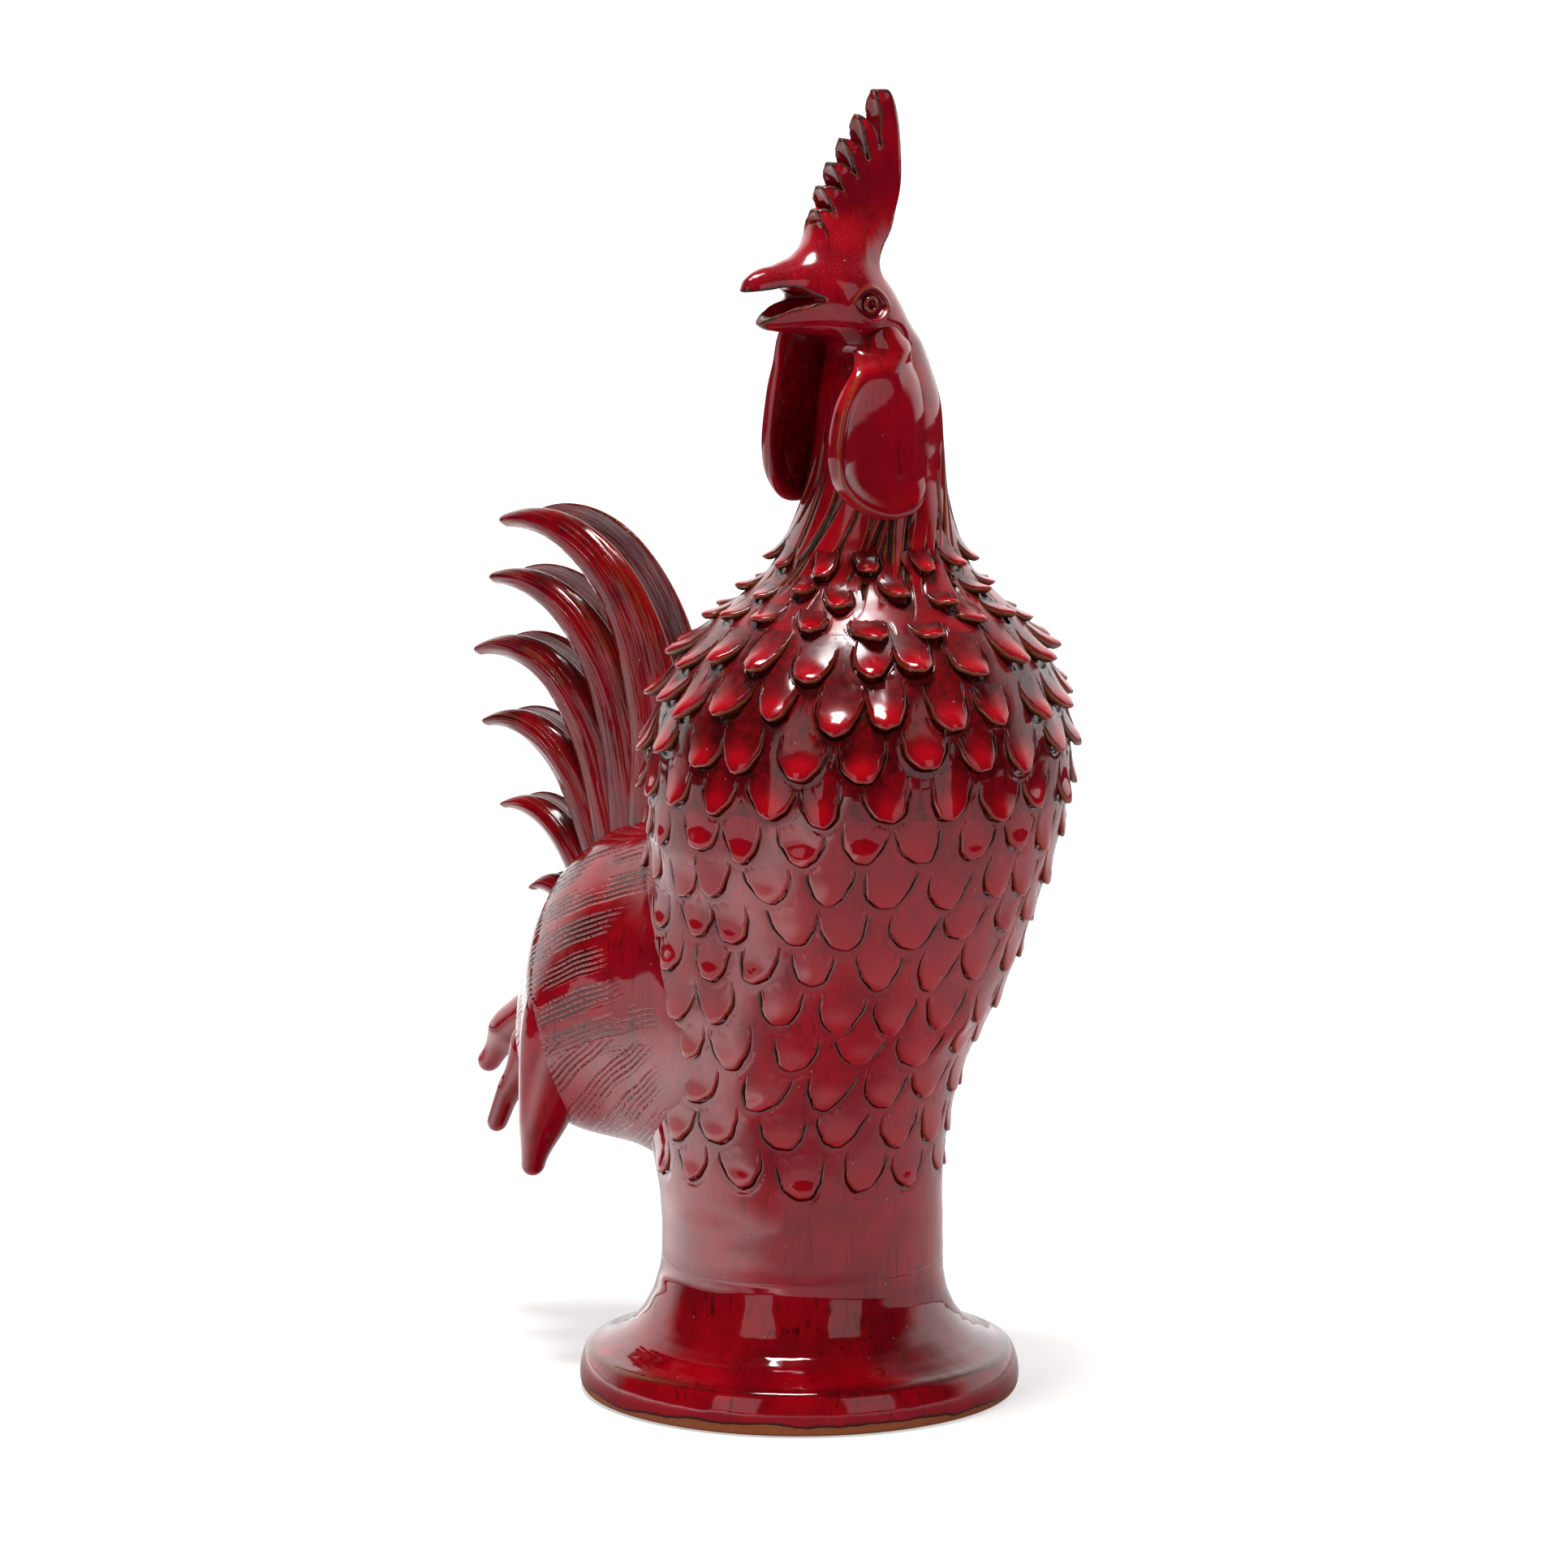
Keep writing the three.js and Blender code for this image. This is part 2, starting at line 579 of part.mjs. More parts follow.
function comb() {
  const outline = new THREE.Shape();
  const top = toothTip(0);
  outline.moveTo(top.x - 3, top.y - 0.5);
  outline.lineTo(top.x, top.y);
  let notch = null;
  for (const share of toothShares) {
    const tip = toothTip(share);
    if (notch) {
      outline.quadraticCurveTo(mix(notch.x, tip.x, 0.3), tip.y - 1, tip.x, tip.y);
    }
    notch = toothNotch(share);
    outline.lineTo(notch.x, notch.y);
  }
  outline.lineTo(20, headHeight * 0.3);
  outline.lineTo(-8, headHeight * 0.2);
  outline.lineTo(-8.5, headHeight * 0.42);
  outline.quadraticCurveTo(-combBack, headHeight * 0.6, -combBack, combTop - 30);
  outline.quadraticCurveTo(-combBack - 0.5, combTop - 8, top.x - 3, top.y - 0.5);
  const slab = new THREE.ExtrudeGeometry(outline, {
    depth: combThickness - 3, bevelThickness: 1.5, bevelSize: 1, bevelOffset: -1, bevelSegments: 1, curveSegments: 3 });
  slab.translate(0, 0, -(combThickness - 3) / 2);
  const place = slab.getAttribute("position");
  const point = new THREE.Vector2();
  for (let i = 0; i < place.count; i += 1) {
    point.set(place.getX(i), place.getY(i));
    const nearest = Math.min(...toothShares.map((share) => point.distanceTo(toothTip(share))));
    place.setZ(i, place.getZ(i) * (1 - tipPinch * Math.exp(-((nearest / combThickness) ** 2) * 4)));
  }
  let cut = toSolid(slab.rotateX(Math.PI / 2));
  for (const share of toothShares) {
    const tip = toothTip(share);
    const low = toothNotch(share);
    const length = tip.distanceTo(low);
    const gouge = new THREE.SphereGeometry(1, 10, 6).scale(2.8, combThickness * 0.34, length * 0.54);
    gouge.rotateY(Math.atan2(tip.x - low.x, tip.y - low.y));
    gouge.translate((tip.x + low.x) / 2 + 1.8, 0, (tip.y + low.y) / 2);
    cut = cut.subtract(toSolid(gouge));
  }
  return largestPiece(cut.subtract(headForm(gap)).subtract(beakForm(upperBeak, true, gap)));
}

// Wattle: a leaf of clay with a thick rim round a dished face, its root bent in to the cheek. The outline is in
// shares of its width and length.
const wattleOutline = [[0.27, 0], [0.52, 0.18], [0.65, 0.41], [0.65, 0.67], [0.5, 0.86], [0.26, 0.97], [0.02, 0.99],
  [-0.2, 0.92], [-0.35, 0.73], [-0.36, 0.45], [-0.29, 0.18], [-0.2, 0.015]];

function wattle(side, turnIn) {
  const closed = new THREE.SplineCurve([...wattleOutline, wattleOutline[0]].map(([x, down]) =>
    new THREE.Vector2(x * wattleWidth, down * wattleLength)));
  const edge = closed.getPoints(16).slice(0, -1);
  const middle = new THREE.Vector2(wattleWidth * 0.15, wattleLength * 0.52);
  const half = wattleThickness / 2;
  const rings = [[0.35, -half * 0.75], [0.82, -half * 0.95], [1, -half * 0.1], [0.95, half * 0.8], [0.86, half],
    [0.74, half * 0.3], [0.35, half * 0.05]].map(([share, out]) => edge.map((point) => {
    const at = middle.clone().lerp(point, share);
    const bend = Math.max(0, 1 - at.y / (wattleLength * 0.65));
    const spread = mix(wattleSpread, headWidth * 0.36, bend ** 2);
    const inward = degrees(turnIn);
    const x = at.x * Math.cos(inward) - out * Math.sin(inward);
    const y = spread + out * Math.cos(inward) - at.x * Math.sin(inward);
    return new THREE.Vector3(x, side * y, -wattleDrop - at.y);
  }));
  const neckForm = toSolid(thrown(shoulderHeight - 20, throatHeight + gap, gap + 0.6).applyMatrix4(toHead));
  return largestPiece(toSolid(loft(rings)).subtract(headForm(gap)).subtract(neckForm)
    .subtract(beakForm(lowerBeak, false, gap)));
}

// Scene

const glaze = (colour, roughness = 0.12) => new THREE.MeshStandardMaterial({ color: colour, roughness, metalness: 0 });

const rooster = new THREE.Group();
const headGroup = new THREE.Group();
headGroup.applyMatrix4(headFrame);
rooster.add(headGroup);

function place(name, solid, group, colour) {
  const mesh = new THREE.Mesh(toGeometry(solid), glaze(colour));
  mesh.name = name;
  group.add(mesh);
}

place("foot", foot(), rooster, "#7a0a12");
place("body", body(), rooster, "#8b0d16");
place("neck", neck(), rooster, "#830c14");
place("rump", rump(), rooster, "#86101a");
for (const [name, size] of Object.entries(fingers)) {
  place(name, finger(size), rooster, "#8b0d16");
}
for (const [side, sign] of [["right", -1], ["left", 1]]) {
  for (let index = 0; index < feathers.length; index += 1) {
    place(`tail_feather_${side}_${index + 1}`, feather(index, sign), rooster, "#740b12");
  }
}
place("head", head(), headGroup, "#8b0d16");
place("beak_upper", beakUpper(), headGroup, "#8b0d16");
place("beak_lower", beakLower(), headGroup, "#7c0b13");
place("comb", comb(), headGroup, "#900d16");
for (const [side, sign] of [["right", -1], ["left", 1]]) {
  place(`eye_${side}`, eye(sign), headGroup, "#5c0a0f");
  place(`wattle_${side}`, wattle(sign, wattleTurn[side]), headGroup, "#960c16");
}

export default rooster;
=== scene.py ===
import math

import bpy
import numpy as np
import openvdb
from mathutils import Matrix, Vector


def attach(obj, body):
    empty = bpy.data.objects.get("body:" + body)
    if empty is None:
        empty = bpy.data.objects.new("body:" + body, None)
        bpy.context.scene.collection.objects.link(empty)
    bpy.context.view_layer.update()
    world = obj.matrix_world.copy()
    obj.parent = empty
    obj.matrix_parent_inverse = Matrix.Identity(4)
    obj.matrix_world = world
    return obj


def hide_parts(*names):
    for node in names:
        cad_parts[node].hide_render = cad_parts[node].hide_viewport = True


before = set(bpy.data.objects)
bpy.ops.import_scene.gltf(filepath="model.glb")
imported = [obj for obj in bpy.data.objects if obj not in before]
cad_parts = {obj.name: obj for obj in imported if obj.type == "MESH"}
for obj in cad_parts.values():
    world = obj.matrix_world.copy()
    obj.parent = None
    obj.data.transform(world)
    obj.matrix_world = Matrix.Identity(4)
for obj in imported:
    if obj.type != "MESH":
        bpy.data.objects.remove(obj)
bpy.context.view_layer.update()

MM = 0.001


# Studio
# A white paper sweep in a dark room, with a soft box above and two pale panels beside the camera. The glaze
# mirrors the paper in every face that looks level or down, and the dark room in the faces that look up.

PHOTO_AZIMUTH = math.radians(40)
CAMERA_AWAY = 2600
CAMERA_HEIGHT = 653
CAMERA_ASIDE = -5.7
CAMERA_PITCH = math.radians(9.34)
CAMERA_LENS = 165.3

right_hand = Vector((math.cos(PHOTO_AZIMUTH), math.sin(PHOTO_AZIMUTH), 0))
into_picture = Vector((-math.sin(PHOTO_AZIMUTH), math.cos(PHOTO_AZIMUTH), 0))
toward_camera = -into_picture
camera_data = bpy.data.cameras.new("camera")
camera_data.sensor_width = 36
camera_data.lens = CAMERA_LENS
camera_data.clip_end = 50
camera = bpy.data.objects.new("camera", camera_data)
bpy.context.scene.collection.objects.link(camera)
camera_place = right_hand * CAMERA_ASIDE + toward_camera * CAMERA_AWAY + Vector((0, 0, CAMERA_HEIGHT))
camera.location = camera_place * MM
camera_look = into_picture * math.cos(CAMERA_PITCH) - Vector((0, 0, math.sin(CAMERA_PITCH)))
camera.rotation_euler = camera_look.to_track_quat("-Z", "Y").to_euler()
bpy.context.scene.camera = camera
bpy.context.scene.view_settings.view_transform = "Standard"


def linear(hex_colour):
    """An sRGB hex colour as a linear colour with alpha."""
    parts = [int(hex_colour[i:i + 2], 16) / 255 for i in (1, 3, 5)]
    return (*[c / 12.92 if c <= 0.04045 else ((c + 0.055) / 1.055) ** 2.4 for c in parts], 1)


def add_node(tree, kind, links=None, give=0, **settings):
    """Adds a node with its settings and the values or links of its sockets, and gives one of its outputs."""
    node = tree.nodes.new("ShaderNode" + kind)
    for key, value in settings.items():
        setattr(node, key, value)
    for key, value in (links or {}).items():
        if isinstance(value, bpy.types.NodeSocket):
            tree.links.new(value, node.inputs[key])
        else:
            node.inputs[key].default_value = value
    return node.outputs[give] if len(node.outputs) else node


def soft_box(name, place, size, power):
    """A lamp behind cloth that looks at the middle of the bird."""
    data = bpy.data.lights.new(name, "AREA")
    data.shape = "RECTANGLE"
    data.size, data.size_y = size[0] * MM, size[1] * MM
    data.energy = power
    lamp = bpy.data.objects.new(name, data)
    bpy.context.scene.collection.objects.link(lamp)
    lamp.location = Vector(place) * MM
    lamp.rotation_euler = (Vector((0, 0, 250)) * MM - lamp.location).to_track_quat("-Z", "Y").to_euler()


overhead = toward_camera * 300 - right_hand * 150 + Vector((0, 0, 1850))
soft_box("soft_box_above", overhead, (560, 380), 27)
for name, aside, power in (("panel_left", -35, 5), ("panel_right", 37, 4.5)):
    away = toward_camera * math.cos(math.radians(aside)) + right_hand * math.sin(math.radians(aside))
    soft_box(name, away * 2300 + Vector((0, 0, 800)), (1050, 1500), power)

room = bpy.data.worlds.new("dark_room")
bpy.context.scene.world = room
room.use_nodes = True
tree = room.node_tree
tree.nodes.clear()
direction = add_node(tree, "TexCoord", give="Generated")
behind = add_node(tree, "VectorMath", {0: direction, 1: tuple(into_picture + right_hand * 0.16)},
                  give="Value", operation="DOT_PRODUCT")
sweep = add_node(tree, "MapRange", {"Value": behind, "From Min": 0.06, "From Max": 0.42, "To Min": 0.0,
                                    "To Max": 1.0}, interpolation_type="SMOOTHSTEP")
height = add_node(tree, "SeparateXYZ", {0: direction}, give="Z")
ceiling = add_node(tree, "MapRange", {"Value": height, "From Min": 0.45, "From Max": 0.8, "To Min": 1.0,
                                      "To Max": 0.12}, interpolation_type="SMOOTHSTEP")
backdrop = add_node(tree, "Math", {0: sweep, 1: ceiling}, operation="MULTIPLY")
backdrop = add_node(tree, "Math", {0: backdrop, 1: 1.5, 2: 0.03}, operation="MULTIPLY_ADD")
camera_ray = add_node(tree, "LightPath", give="Is Camera Ray")
strength = add_node(tree, "Mix", {0: camera_ray, 2: backdrop, 3: 1.0})
background = add_node(tree, "Background", {"Color": (1, 1, 1, 1), "Strength": strength})
add_node(tree, "OutputWorld", {"Surface": background})

# The paper reaches some metres in front of the bird and far behind it. Light of its own in the camera's eye
# keeps it white, and the bird's shadow still falls on it. In the glaze it shows painted light instead of its
# lit
# colour: a painted shadow just in front of the foot, where the bird shades it, painted brightest to the left,
# and dark again where the light of the lamps ends.
PAPER_FRONT = 4500
PAPER_BACK = 9000
PAPER_SIDE = 9000
paper_corners = ((-PAPER_SIDE, -PAPER_FRONT), (PAPER_SIDE, -PAPER_FRONT), (PAPER_SIDE, PAPER_BACK),
                 (-PAPER_SIDE, PAPER_BACK))
corners = [right_hand * x + into_picture * y for x, y in paper_corners]
paper_mesh = bpy.data.meshes.new("paper_sweep")
just_under = Vector((0, 0, -0.0002))
paper_mesh.from_pydata([tuple(corner * MM + just_under) for corner in corners], [], [(0, 1, 2, 3)])
paper = bpy.data.objects.new("paper_sweep", paper_mesh)
bpy.context.scene.collection.objects.link(paper)
paper_white = bpy.data.materials.new("white_paper")
paper_white.use_nodes = True
tree = paper_white.node_tree
tree.nodes.clear()
spot = add_node(tree, "NewGeometry", give="Position")
from_shade = add_node(tree, "VectorMath", {0: spot, 1: tuple(toward_camera * 90 * MM)}, give="Value",
                      operation="DISTANCE")
shade = add_node(tree, "MapRange", {"Value": from_shade, "From Min": 0.08, "From Max": 0.23, "To Min": 0.25,
                                    "To Max": 1.0}, interpolation_type="SMOOTHSTEP")
aside = add_node(tree, "VectorMath", {0: spot, 1: tuple(-right_hand)}, give="Value",
                 operation="DOT_PRODUCT")
brighter = add_node(tree, "MapRange", {"Value": aside, "From Min": 0.1, "From Max": 0.3, "To Min": 0.78,
                                       "To Max": 2.5}, interpolation_type="SMOOTHSTEP")
fainter = add_node(tree, "MapRange", {"Value": aside, "From Min": 0.28, "From Max": 0.65, "To Min": 1.0,
                                      "To Max": 0.42}, interpolation_type="SMOOTHSTEP")
from_middle = add_node(tree, "VectorMath", {0: spot, 1: tuple(into_picture * 400 * MM)}, give="Value",
                       operation="DISTANCE")
lit_paper = add_node(tree, "MapRange", {"Value": from_middle, "From Min": 1.72, "From Max": 1.95,
                                        "To Min": 1.0, "To Max": 0.04}, interpolation_type="SMOOTHSTEP")
painted_paper_light = add_node(tree, "Math", {0: shade, 1: brighter}, operation="MULTIPLY")
painted_paper_light = add_node(tree, "Math", {0: painted_paper_light, 1: fainter}, operation="MULTIPLY")
painted_paper_light = add_node(tree, "Math", {0: painted_paper_light, 1: lit_paper}, operation="MULTIPLY")
mirrored = add_node(tree, "Emission", {"Color": (1, 1, 1, 1), "Strength": painted_paper_light})
matt = add_node(tree, "BsdfDiffuse", {"Color": (0.82, 0.82, 0.82, 1)})
# Its own light is weaker near the bird's left side, so the shadow shows more there than at the right.
from_bird = add_node(tree, "VectorMath", {0: spot, 1: tuple(right_hand * -300 * MM)}, give="Value",
                     operation="DISTANCE")
own_light = add_node(tree, "MapRange", {"Value": from_bird, "From Min": 0.28, "From Max": 0.9,
                                        "To Min": 0.5, "To Max": 1.0})
glow = add_node(tree, "Emission", {"Color": (1, 1, 1, 1), "Strength": own_light})
lit = add_node(tree, "AddShader", {0: matt, 1: glow})
glossy_ray = add_node(tree, "LightPath", give="Is Glossy Ray")
mirrored = add_node(tree, "MixShader", {0: glossy_ray, 1: matt, 2: mirrored})
camera_ray = add_node(tree, "LightPath", give="Is Camera Ray")
chosen = add_node(tree, "MixShader", {0: camera_ray, 1: mirrored, 2: lit})
add_node(tree, "OutputMaterial", {"Surface": chosen})
paper_mesh.materials.append(paper_white)


# Foot
# The foot is one thrown ring of red earthenware: a heavy flange, a cove and a short neck, with a small vent
# cut in its floor. Its side is dipped in the red glaze, and the rim that it stands on is wiped bare.

FOOT_HEIGHT = 50
WAIST_RADIUS = 52
LEAN_AT_JOINT = 1.4
FLOOR_THICKNESS = 9
VENT_RADIUS = 4
VENT_OFFSET = 26
AROUND = 240  # points round every thrown piece


def smooth(x, xs, ys):
    """A smooth line through the points xs, ys, read at x."""
    x, xs, ys = (np.asarray(values, float) for values in (x, xs, ys))
    slopes = np.gradient(ys, xs)
    k = np.clip(np.searchsorted(xs, x) - 1, 0, len(xs) - 2)
    span = xs[k + 1] - xs[k]
    t = np.clip((x - xs[k]) / span, 0, 1)
    return ((2 * t**3 - 3 * t**2 + 1) * ys[k] + (t**3 - 2 * t**2 + t) * span * slopes[k]
            + (3 * t**2 - 2 * t**3) * ys[k + 1] + (t**3 - t**2) * span * slopes[k + 1])


def through(points, places):
    """Columns of a smooth line through points, read at places that count from point to point."""
    return [smooth(places, range(len(points)), column) for column in np.asarray(points, float).T]


def read_table(table, x):
    """The columns of a table after its first, as smooth lines read where the first is x."""
    return [smooth(x, table[:, 0], column) for column in table[:, 1:].T]


def step(low, high, x):
    """0 below low, 1 above high and smooth between."""
    t = np.clip((np.asarray(x, float) - low) / (high - low), 0, 1)
    return t * t * (3 - 2 * t)


def ring_faces(rings, count, closed=True, first=0):
    """Quads between rings of points that follow each other."""
    k, i = np.meshgrid(np.arange(rings - 1), np.arange(count if closed else count - 1), indexing="ij")
    a = first + k * count + i
    b = first + k * count + (i + 1) % count
    return np.stack([a, b, b + count, a + count], -1).reshape(-1, 4)


def clay_piece(name, points, faces, marks=None, uv=None, normals=None):
    """A smooth mesh from points in millimetres, with named marks on its points."""
    mesh = bpy.data.meshes.new(name)
    mesh.from_pydata((np.asarray(points) * MM).tolist(), [], [list(map(int, face)) for face in faces])
    mesh.update()
    mesh.shade_smooth()
    for mark, values in (marks or {}).items():
        layer = mesh.attributes.new(mark, "FLOAT", "POINT")
        layer.data.foreach_set("value", np.asarray(values, np.float32).ravel())
    if uv is not None:
        corner_points = np.empty(len(mesh.loops), np.int32)
        mesh.loops.foreach_get("vertex_index", corner_points)
        layer = mesh.uv_layers.new(name="blade")
        layer.data.foreach_set("uv", np.asarray(uv, np.float32)[corner_points].ravel())
    if normals is not None:
        mesh.normals_split_custom_set_from_vertices(np.asarray(normals).tolist())
    piece = bpy.data.objects.new(name, mesh)
    bpy.context.scene.collection.objects.link(piece)
    return piece


def fit(piece, material, slot, *nodes):
    """Glazes a piece and puts it in the place of its CAD nodes."""
    piece.data.materials.append(material)
    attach(piece, "root")
    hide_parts(*nodes)


# Red lead glaze over red earthenware, dipped and fired glossy. It lies clear red on swellings, breaks to
# brown on sharp edges and pools almost black in cuts, and shade under lifted edges is painted in the same
# dark.
# The marks on a mesh for pooling, swelling and wear say where it is deep or painted shaded, thin or gone.
# The recipe lists coats: how much each covers those under it, and its colour.
def red_glaze(name, thin="#a80414", thick="#840411", painted_top_sheen=0.0, frosting=0.06, grain=None, bare_rim=False):
    material = bpy.data.materials.new(name)
    material.use_nodes = True
    tree = material.node_tree
    tree.nodes.clear()
    place = add_node(tree, "TexCoord", give="Object")
    in_mm = add_node(tree, "Mapping", {"Vector": place, "Scale": (1000, 1000, 1000)})
    upright = add_node(tree, "Mapping", {"Vector": place, "Scale": (1000, 1000, 60)})

    # Clouds of thicker and thinner glaze, and dark streaks where it ran down
    clouds = add_node(tree, "TexNoise", {"Vector": in_mm, "Scale": 1 / 20, "Detail": 3.0}, give="Fac")
    clouded = add_node(tree, "MapRange", {"Value": clouds, "From Min": 0.35, "From Max": 0.65},
                       interpolation_type="SMOOTHSTEP")
    coats = [(clouded, linear(thin))]
    runs = add_node(tree, "TexNoise", {"Vector": upright, "Scale": 1 / 1.5, "Detail": 3.0,
                                       "Roughness": 0.6}, give="Fac")
    streaks = add_node(tree, "MapRange", {"Value": runs, "From Min": 0.53, "From Max": 0.68},
                       interpolation_type="SMOOTHSTEP")
    patches = add_node(tree, "TexNoise", {"Vector": in_mm, "Scale": 1 / 15, "Detail": 2.0}, give="Fac")
    patches = add_node(tree, "MapRange", {"Value": patches, "From Min": 0.38, "From Max": 0.58,
                                          "To Max": 0.8}, interpolation_type="SMOOTHSTEP")
    streaks = add_node(tree, "Math", {0: streaks, 1: patches}, operation="MULTIPLY")
    coats.append((streaks, linear("#3c0405")))

    # Brighter where it lies thin on a swelling
    swollen = add_node(tree, "Attribute", give="Fac", attribute_name="swollen")
    coats.append((swollen, linear("#c00310")))

    # A milky bloom that is painted light by the way each face looks: a crimson painted reflection of the
    # paper on faces that look level or down, and on faces that look up a painted sheen of the lamp above,
    # with fine pale crystals painted as glints
    frost = 0.0
    normal = add_node(tree, "NewGeometry", give="Normal")
    up = add_node(tree, "SeparateXYZ", {0: normal}, give="Z")
    level = add_node(tree, "MapRange", {"Value": up, "From Min": 0.3, "From Max": 0.02, "To Max": 0.3},
                     interpolation_type="SMOOTHSTEP")
    coats.append((level, linear("#b0082c")))
    if painted_top_sheen:
        # Painted sheen: faces that look up are painted paler, where the lamp above falls on them.
        sheen_on_top = add_node(tree, "MapRange", {"Value": up, "From Min": 0.0, "From Max": 0.7, "To Max": painted_top_sheen},
                         interpolation_type="SMOOTHSTEP")
        coats.append((sheen_on_top, linear("#b30f26")))
        # Pale specks of crystal on faces that look up and off the swellings, painted as glints of the lamp
        # above.
        crystal_glints = add_node(tree, "TexNoise", {"Vector": in_mm, "Scale": 1 / 0.45, "Detail": 2.0,
                                            "Roughness": 0.7}, give="Fac")
        crystal_glints = add_node(tree, "MapRange", {"Value": crystal_glints, "From Min": 0.54, "From Max": 0.74,
                                            "To Max": 0.7})
        frost = add_node(tree, "Math", {0: 1.0, 1: swollen}, operation="SUBTRACT")
        frost = add_node(tree, "Math", {0: frost, 1: sheen_on_top}, operation="MULTIPLY")
        crystal_glints = add_node(tree, "Math", {0: crystal_glints, 1: frost}, operation="MULTIPLY")
        frost = add_node(tree, "Math", {0: frost, 1: frosting / painted_top_sheen}, operation="MULTIPLY")
        coats.append((crystal_glints, linear("#d8808a")))

    # Pools of glaze and painted shade, first brown and then almost black
    deep = add_node(tree, "Attribute", give="Fac", attribute_name="pool_and_shade")
    uneven = add_node(tree, "TexNoise", {"Vector": in_mm, "Scale": 1 / 3, "Detail": 3.0}, give="Fac")
    uneven = add_node(tree, "MapRange", {"Value": uneven, "From Min": 0.3, "From Max": 0.7, "To Min": 0.65,
                                         "To Max": 1.3})
    pooled_and_shaded = add_node(tree, "Math", {0: deep, 1: uneven}, operation="MULTIPLY")
    if grain:
        relief, thinness, furrow = grain(tree, in_mm)
        pooled_and_shaded = add_node(tree, "Math", {0: pooled_and_shaded, 1: furrow}, operation="MAXIMUM")
    for low, high, shade in ((0.02, 0.5, "#3d0605"), (0.4, 0.95, "#170605")):
        amount = add_node(tree, "MapRange", {"Value": pooled_and_shaded, "From Min": low, "From Max": high})
        coats.append((amount, linear(shade)))

    # Worn edges, where the clay shows brown through thin glaze
    edge = add_node(tree, "Attribute", give="Fac", attribute_name="worn")
    fine = add_node(tree, "TexNoise", {"Vector": in_mm, "Scale": 1 / 1.2, "Detail": 2.0}, give="Fac")
    bitten = add_node(tree, "MapRange", {"Value": fine, "From Min": 0.3, "From Max": 0.6, "To Min": 0.25,
                                         "To Max": 1.0})
    worn = add_node(tree, "Math", {0: edge, 1: bitten}, operation="MULTIPLY")
    swell = add_node(tree, "TexNoise", {"Vector": in_mm, "Scale": 1 / 11, "Detail": 1.0}, give="Fac")
    height = add_node(tree, "Math", {0: swell, 1: 0.00015}, operation="MULTIPLY")
    ripple = add_node(tree, "TexNoise", {"Vector": in_mm, "Scale": 1 / 4, "Detail": 1.0}, give="Fac")
    height = add_node(tree, "Math", {0: ripple, 1: 0.00003, 2: height}, operation="MULTIPLY_ADD")
    if grain:
        height = add_node(tree, "Math", {0: height, 1: relief}, operation="ADD")
        worn = add_node(tree, "Math", {0: worn, 1: thinness}, operation="MAXIMUM")
    coats.append((worn, linear("#85481f")))
    gloss = add_node(tree, "TexNoise", {"Vector": in_mm, "Scale": 1 / 9, "Detail": 2.0}, give="Fac")
    gloss = add_node(tree, "MapRange", {"Value": gloss, "From Min": 0.3, "From Max": 0.7, "To Min": 0.035,
                                        "To Max": 0.085})
    roughness = add_node(tree, "Math", {0: worn, 1: 0.12, 2: gloss}, operation="MULTIPLY_ADD")
    roughness = add_node(tree, "Math", {0: roughness, 1: frost}, operation="ADD")
    burnt = add_node(tree, "MapRange", {"Value": pooled_and_shaded, "From Min": 0.5, "From Max": 1.0, "To Max": 0.5})
    roughness = add_node(tree, "Math", {0: roughness, 1: burnt}, operation="ADD")

    # Pale specks, each in its own cell and only in a few cells
    cells = {"Vector": in_mm, "Scale": 0.23}
    chance = add_node(tree, "TexVoronoi", cells, give="Color")
    chance = add_node(tree, "SeparateColor", {0: chance})
    chosen = add_node(tree, "MapRange", {"Value": chance, "From Min": 0.86, "From Max": 0.88})
    near = add_node(tree, "TexVoronoi", cells, give="Distance")
    near = add_node(tree, "MapRange", {"Value": near, "From Min": 0.09, "From Max": 0.05, "To Max": 0.6})
    speck = add_node(tree, "Math", {0: near, 1: chosen}, operation="MULTIPLY")
    coats.append((speck, linear("#d9a493")))

    # The wiped rim: a dark edge of glaze, then bare terracotta
    if bare_rim:
        z = add_node(tree, "SeparateXYZ", {0: in_mm}, give="Z")
        wander = add_node(tree, "TexNoise", {"Vector": in_mm, "Scale": 1 / 34, "Detail": 3.0}, give="Fac")
        line = add_node(tree, "Math", {0: wander, 1: -9.5, 2: z}, operation="MULTIPLY_ADD")
        edge = add_node(tree, "MapRange", {"Value": line, "From Min": 0.5, "From Max": -0.5},
                        interpolation_type="SMOOTHSTEP")
        coats.append((edge, linear("#3a0d08")))
        bare = add_node(tree, "MapRange", {"Value": line, "From Min": -0.6, "From Max": -1.1},
                        interpolation_type="SMOOTHSTEP")
        clay = add_node(tree, "Mix", {0: fine, 6: linear("#94421e"), 7: linear("#b5642f")}, give=2,
                        data_type="RGBA")
        coats.append((bare, clay))
        roughness = add_node(tree, "Math", {0: bare, 1: 0.7, 2: roughness}, operation="MULTIPLY_ADD")

    colour = linear(thick)
    for amount, shade in coats:
        colour = add_node(tree, "Mix", {0: amount, 6: colour, 7: shade}, give=2, data_type="RGBA")
    bump = add_node(tree, "Bump", {"Height": height, "Strength": 1.0, "Distance": 1.0})
    glaze = add_node(tree, "BsdfPrincipled", {"Base Color": colour, "Roughness": roughness, "IOR": 1.54,
                                              "Normal": bump})
    add_node(tree, "OutputMaterial", {"Surface": glaze})
    return material


def evenly_round(count):
    """Angles of points that lie evenly round a ring."""
    return np.arange(count) / count * 2 * math.pi


angles = evenly_round(AROUND)


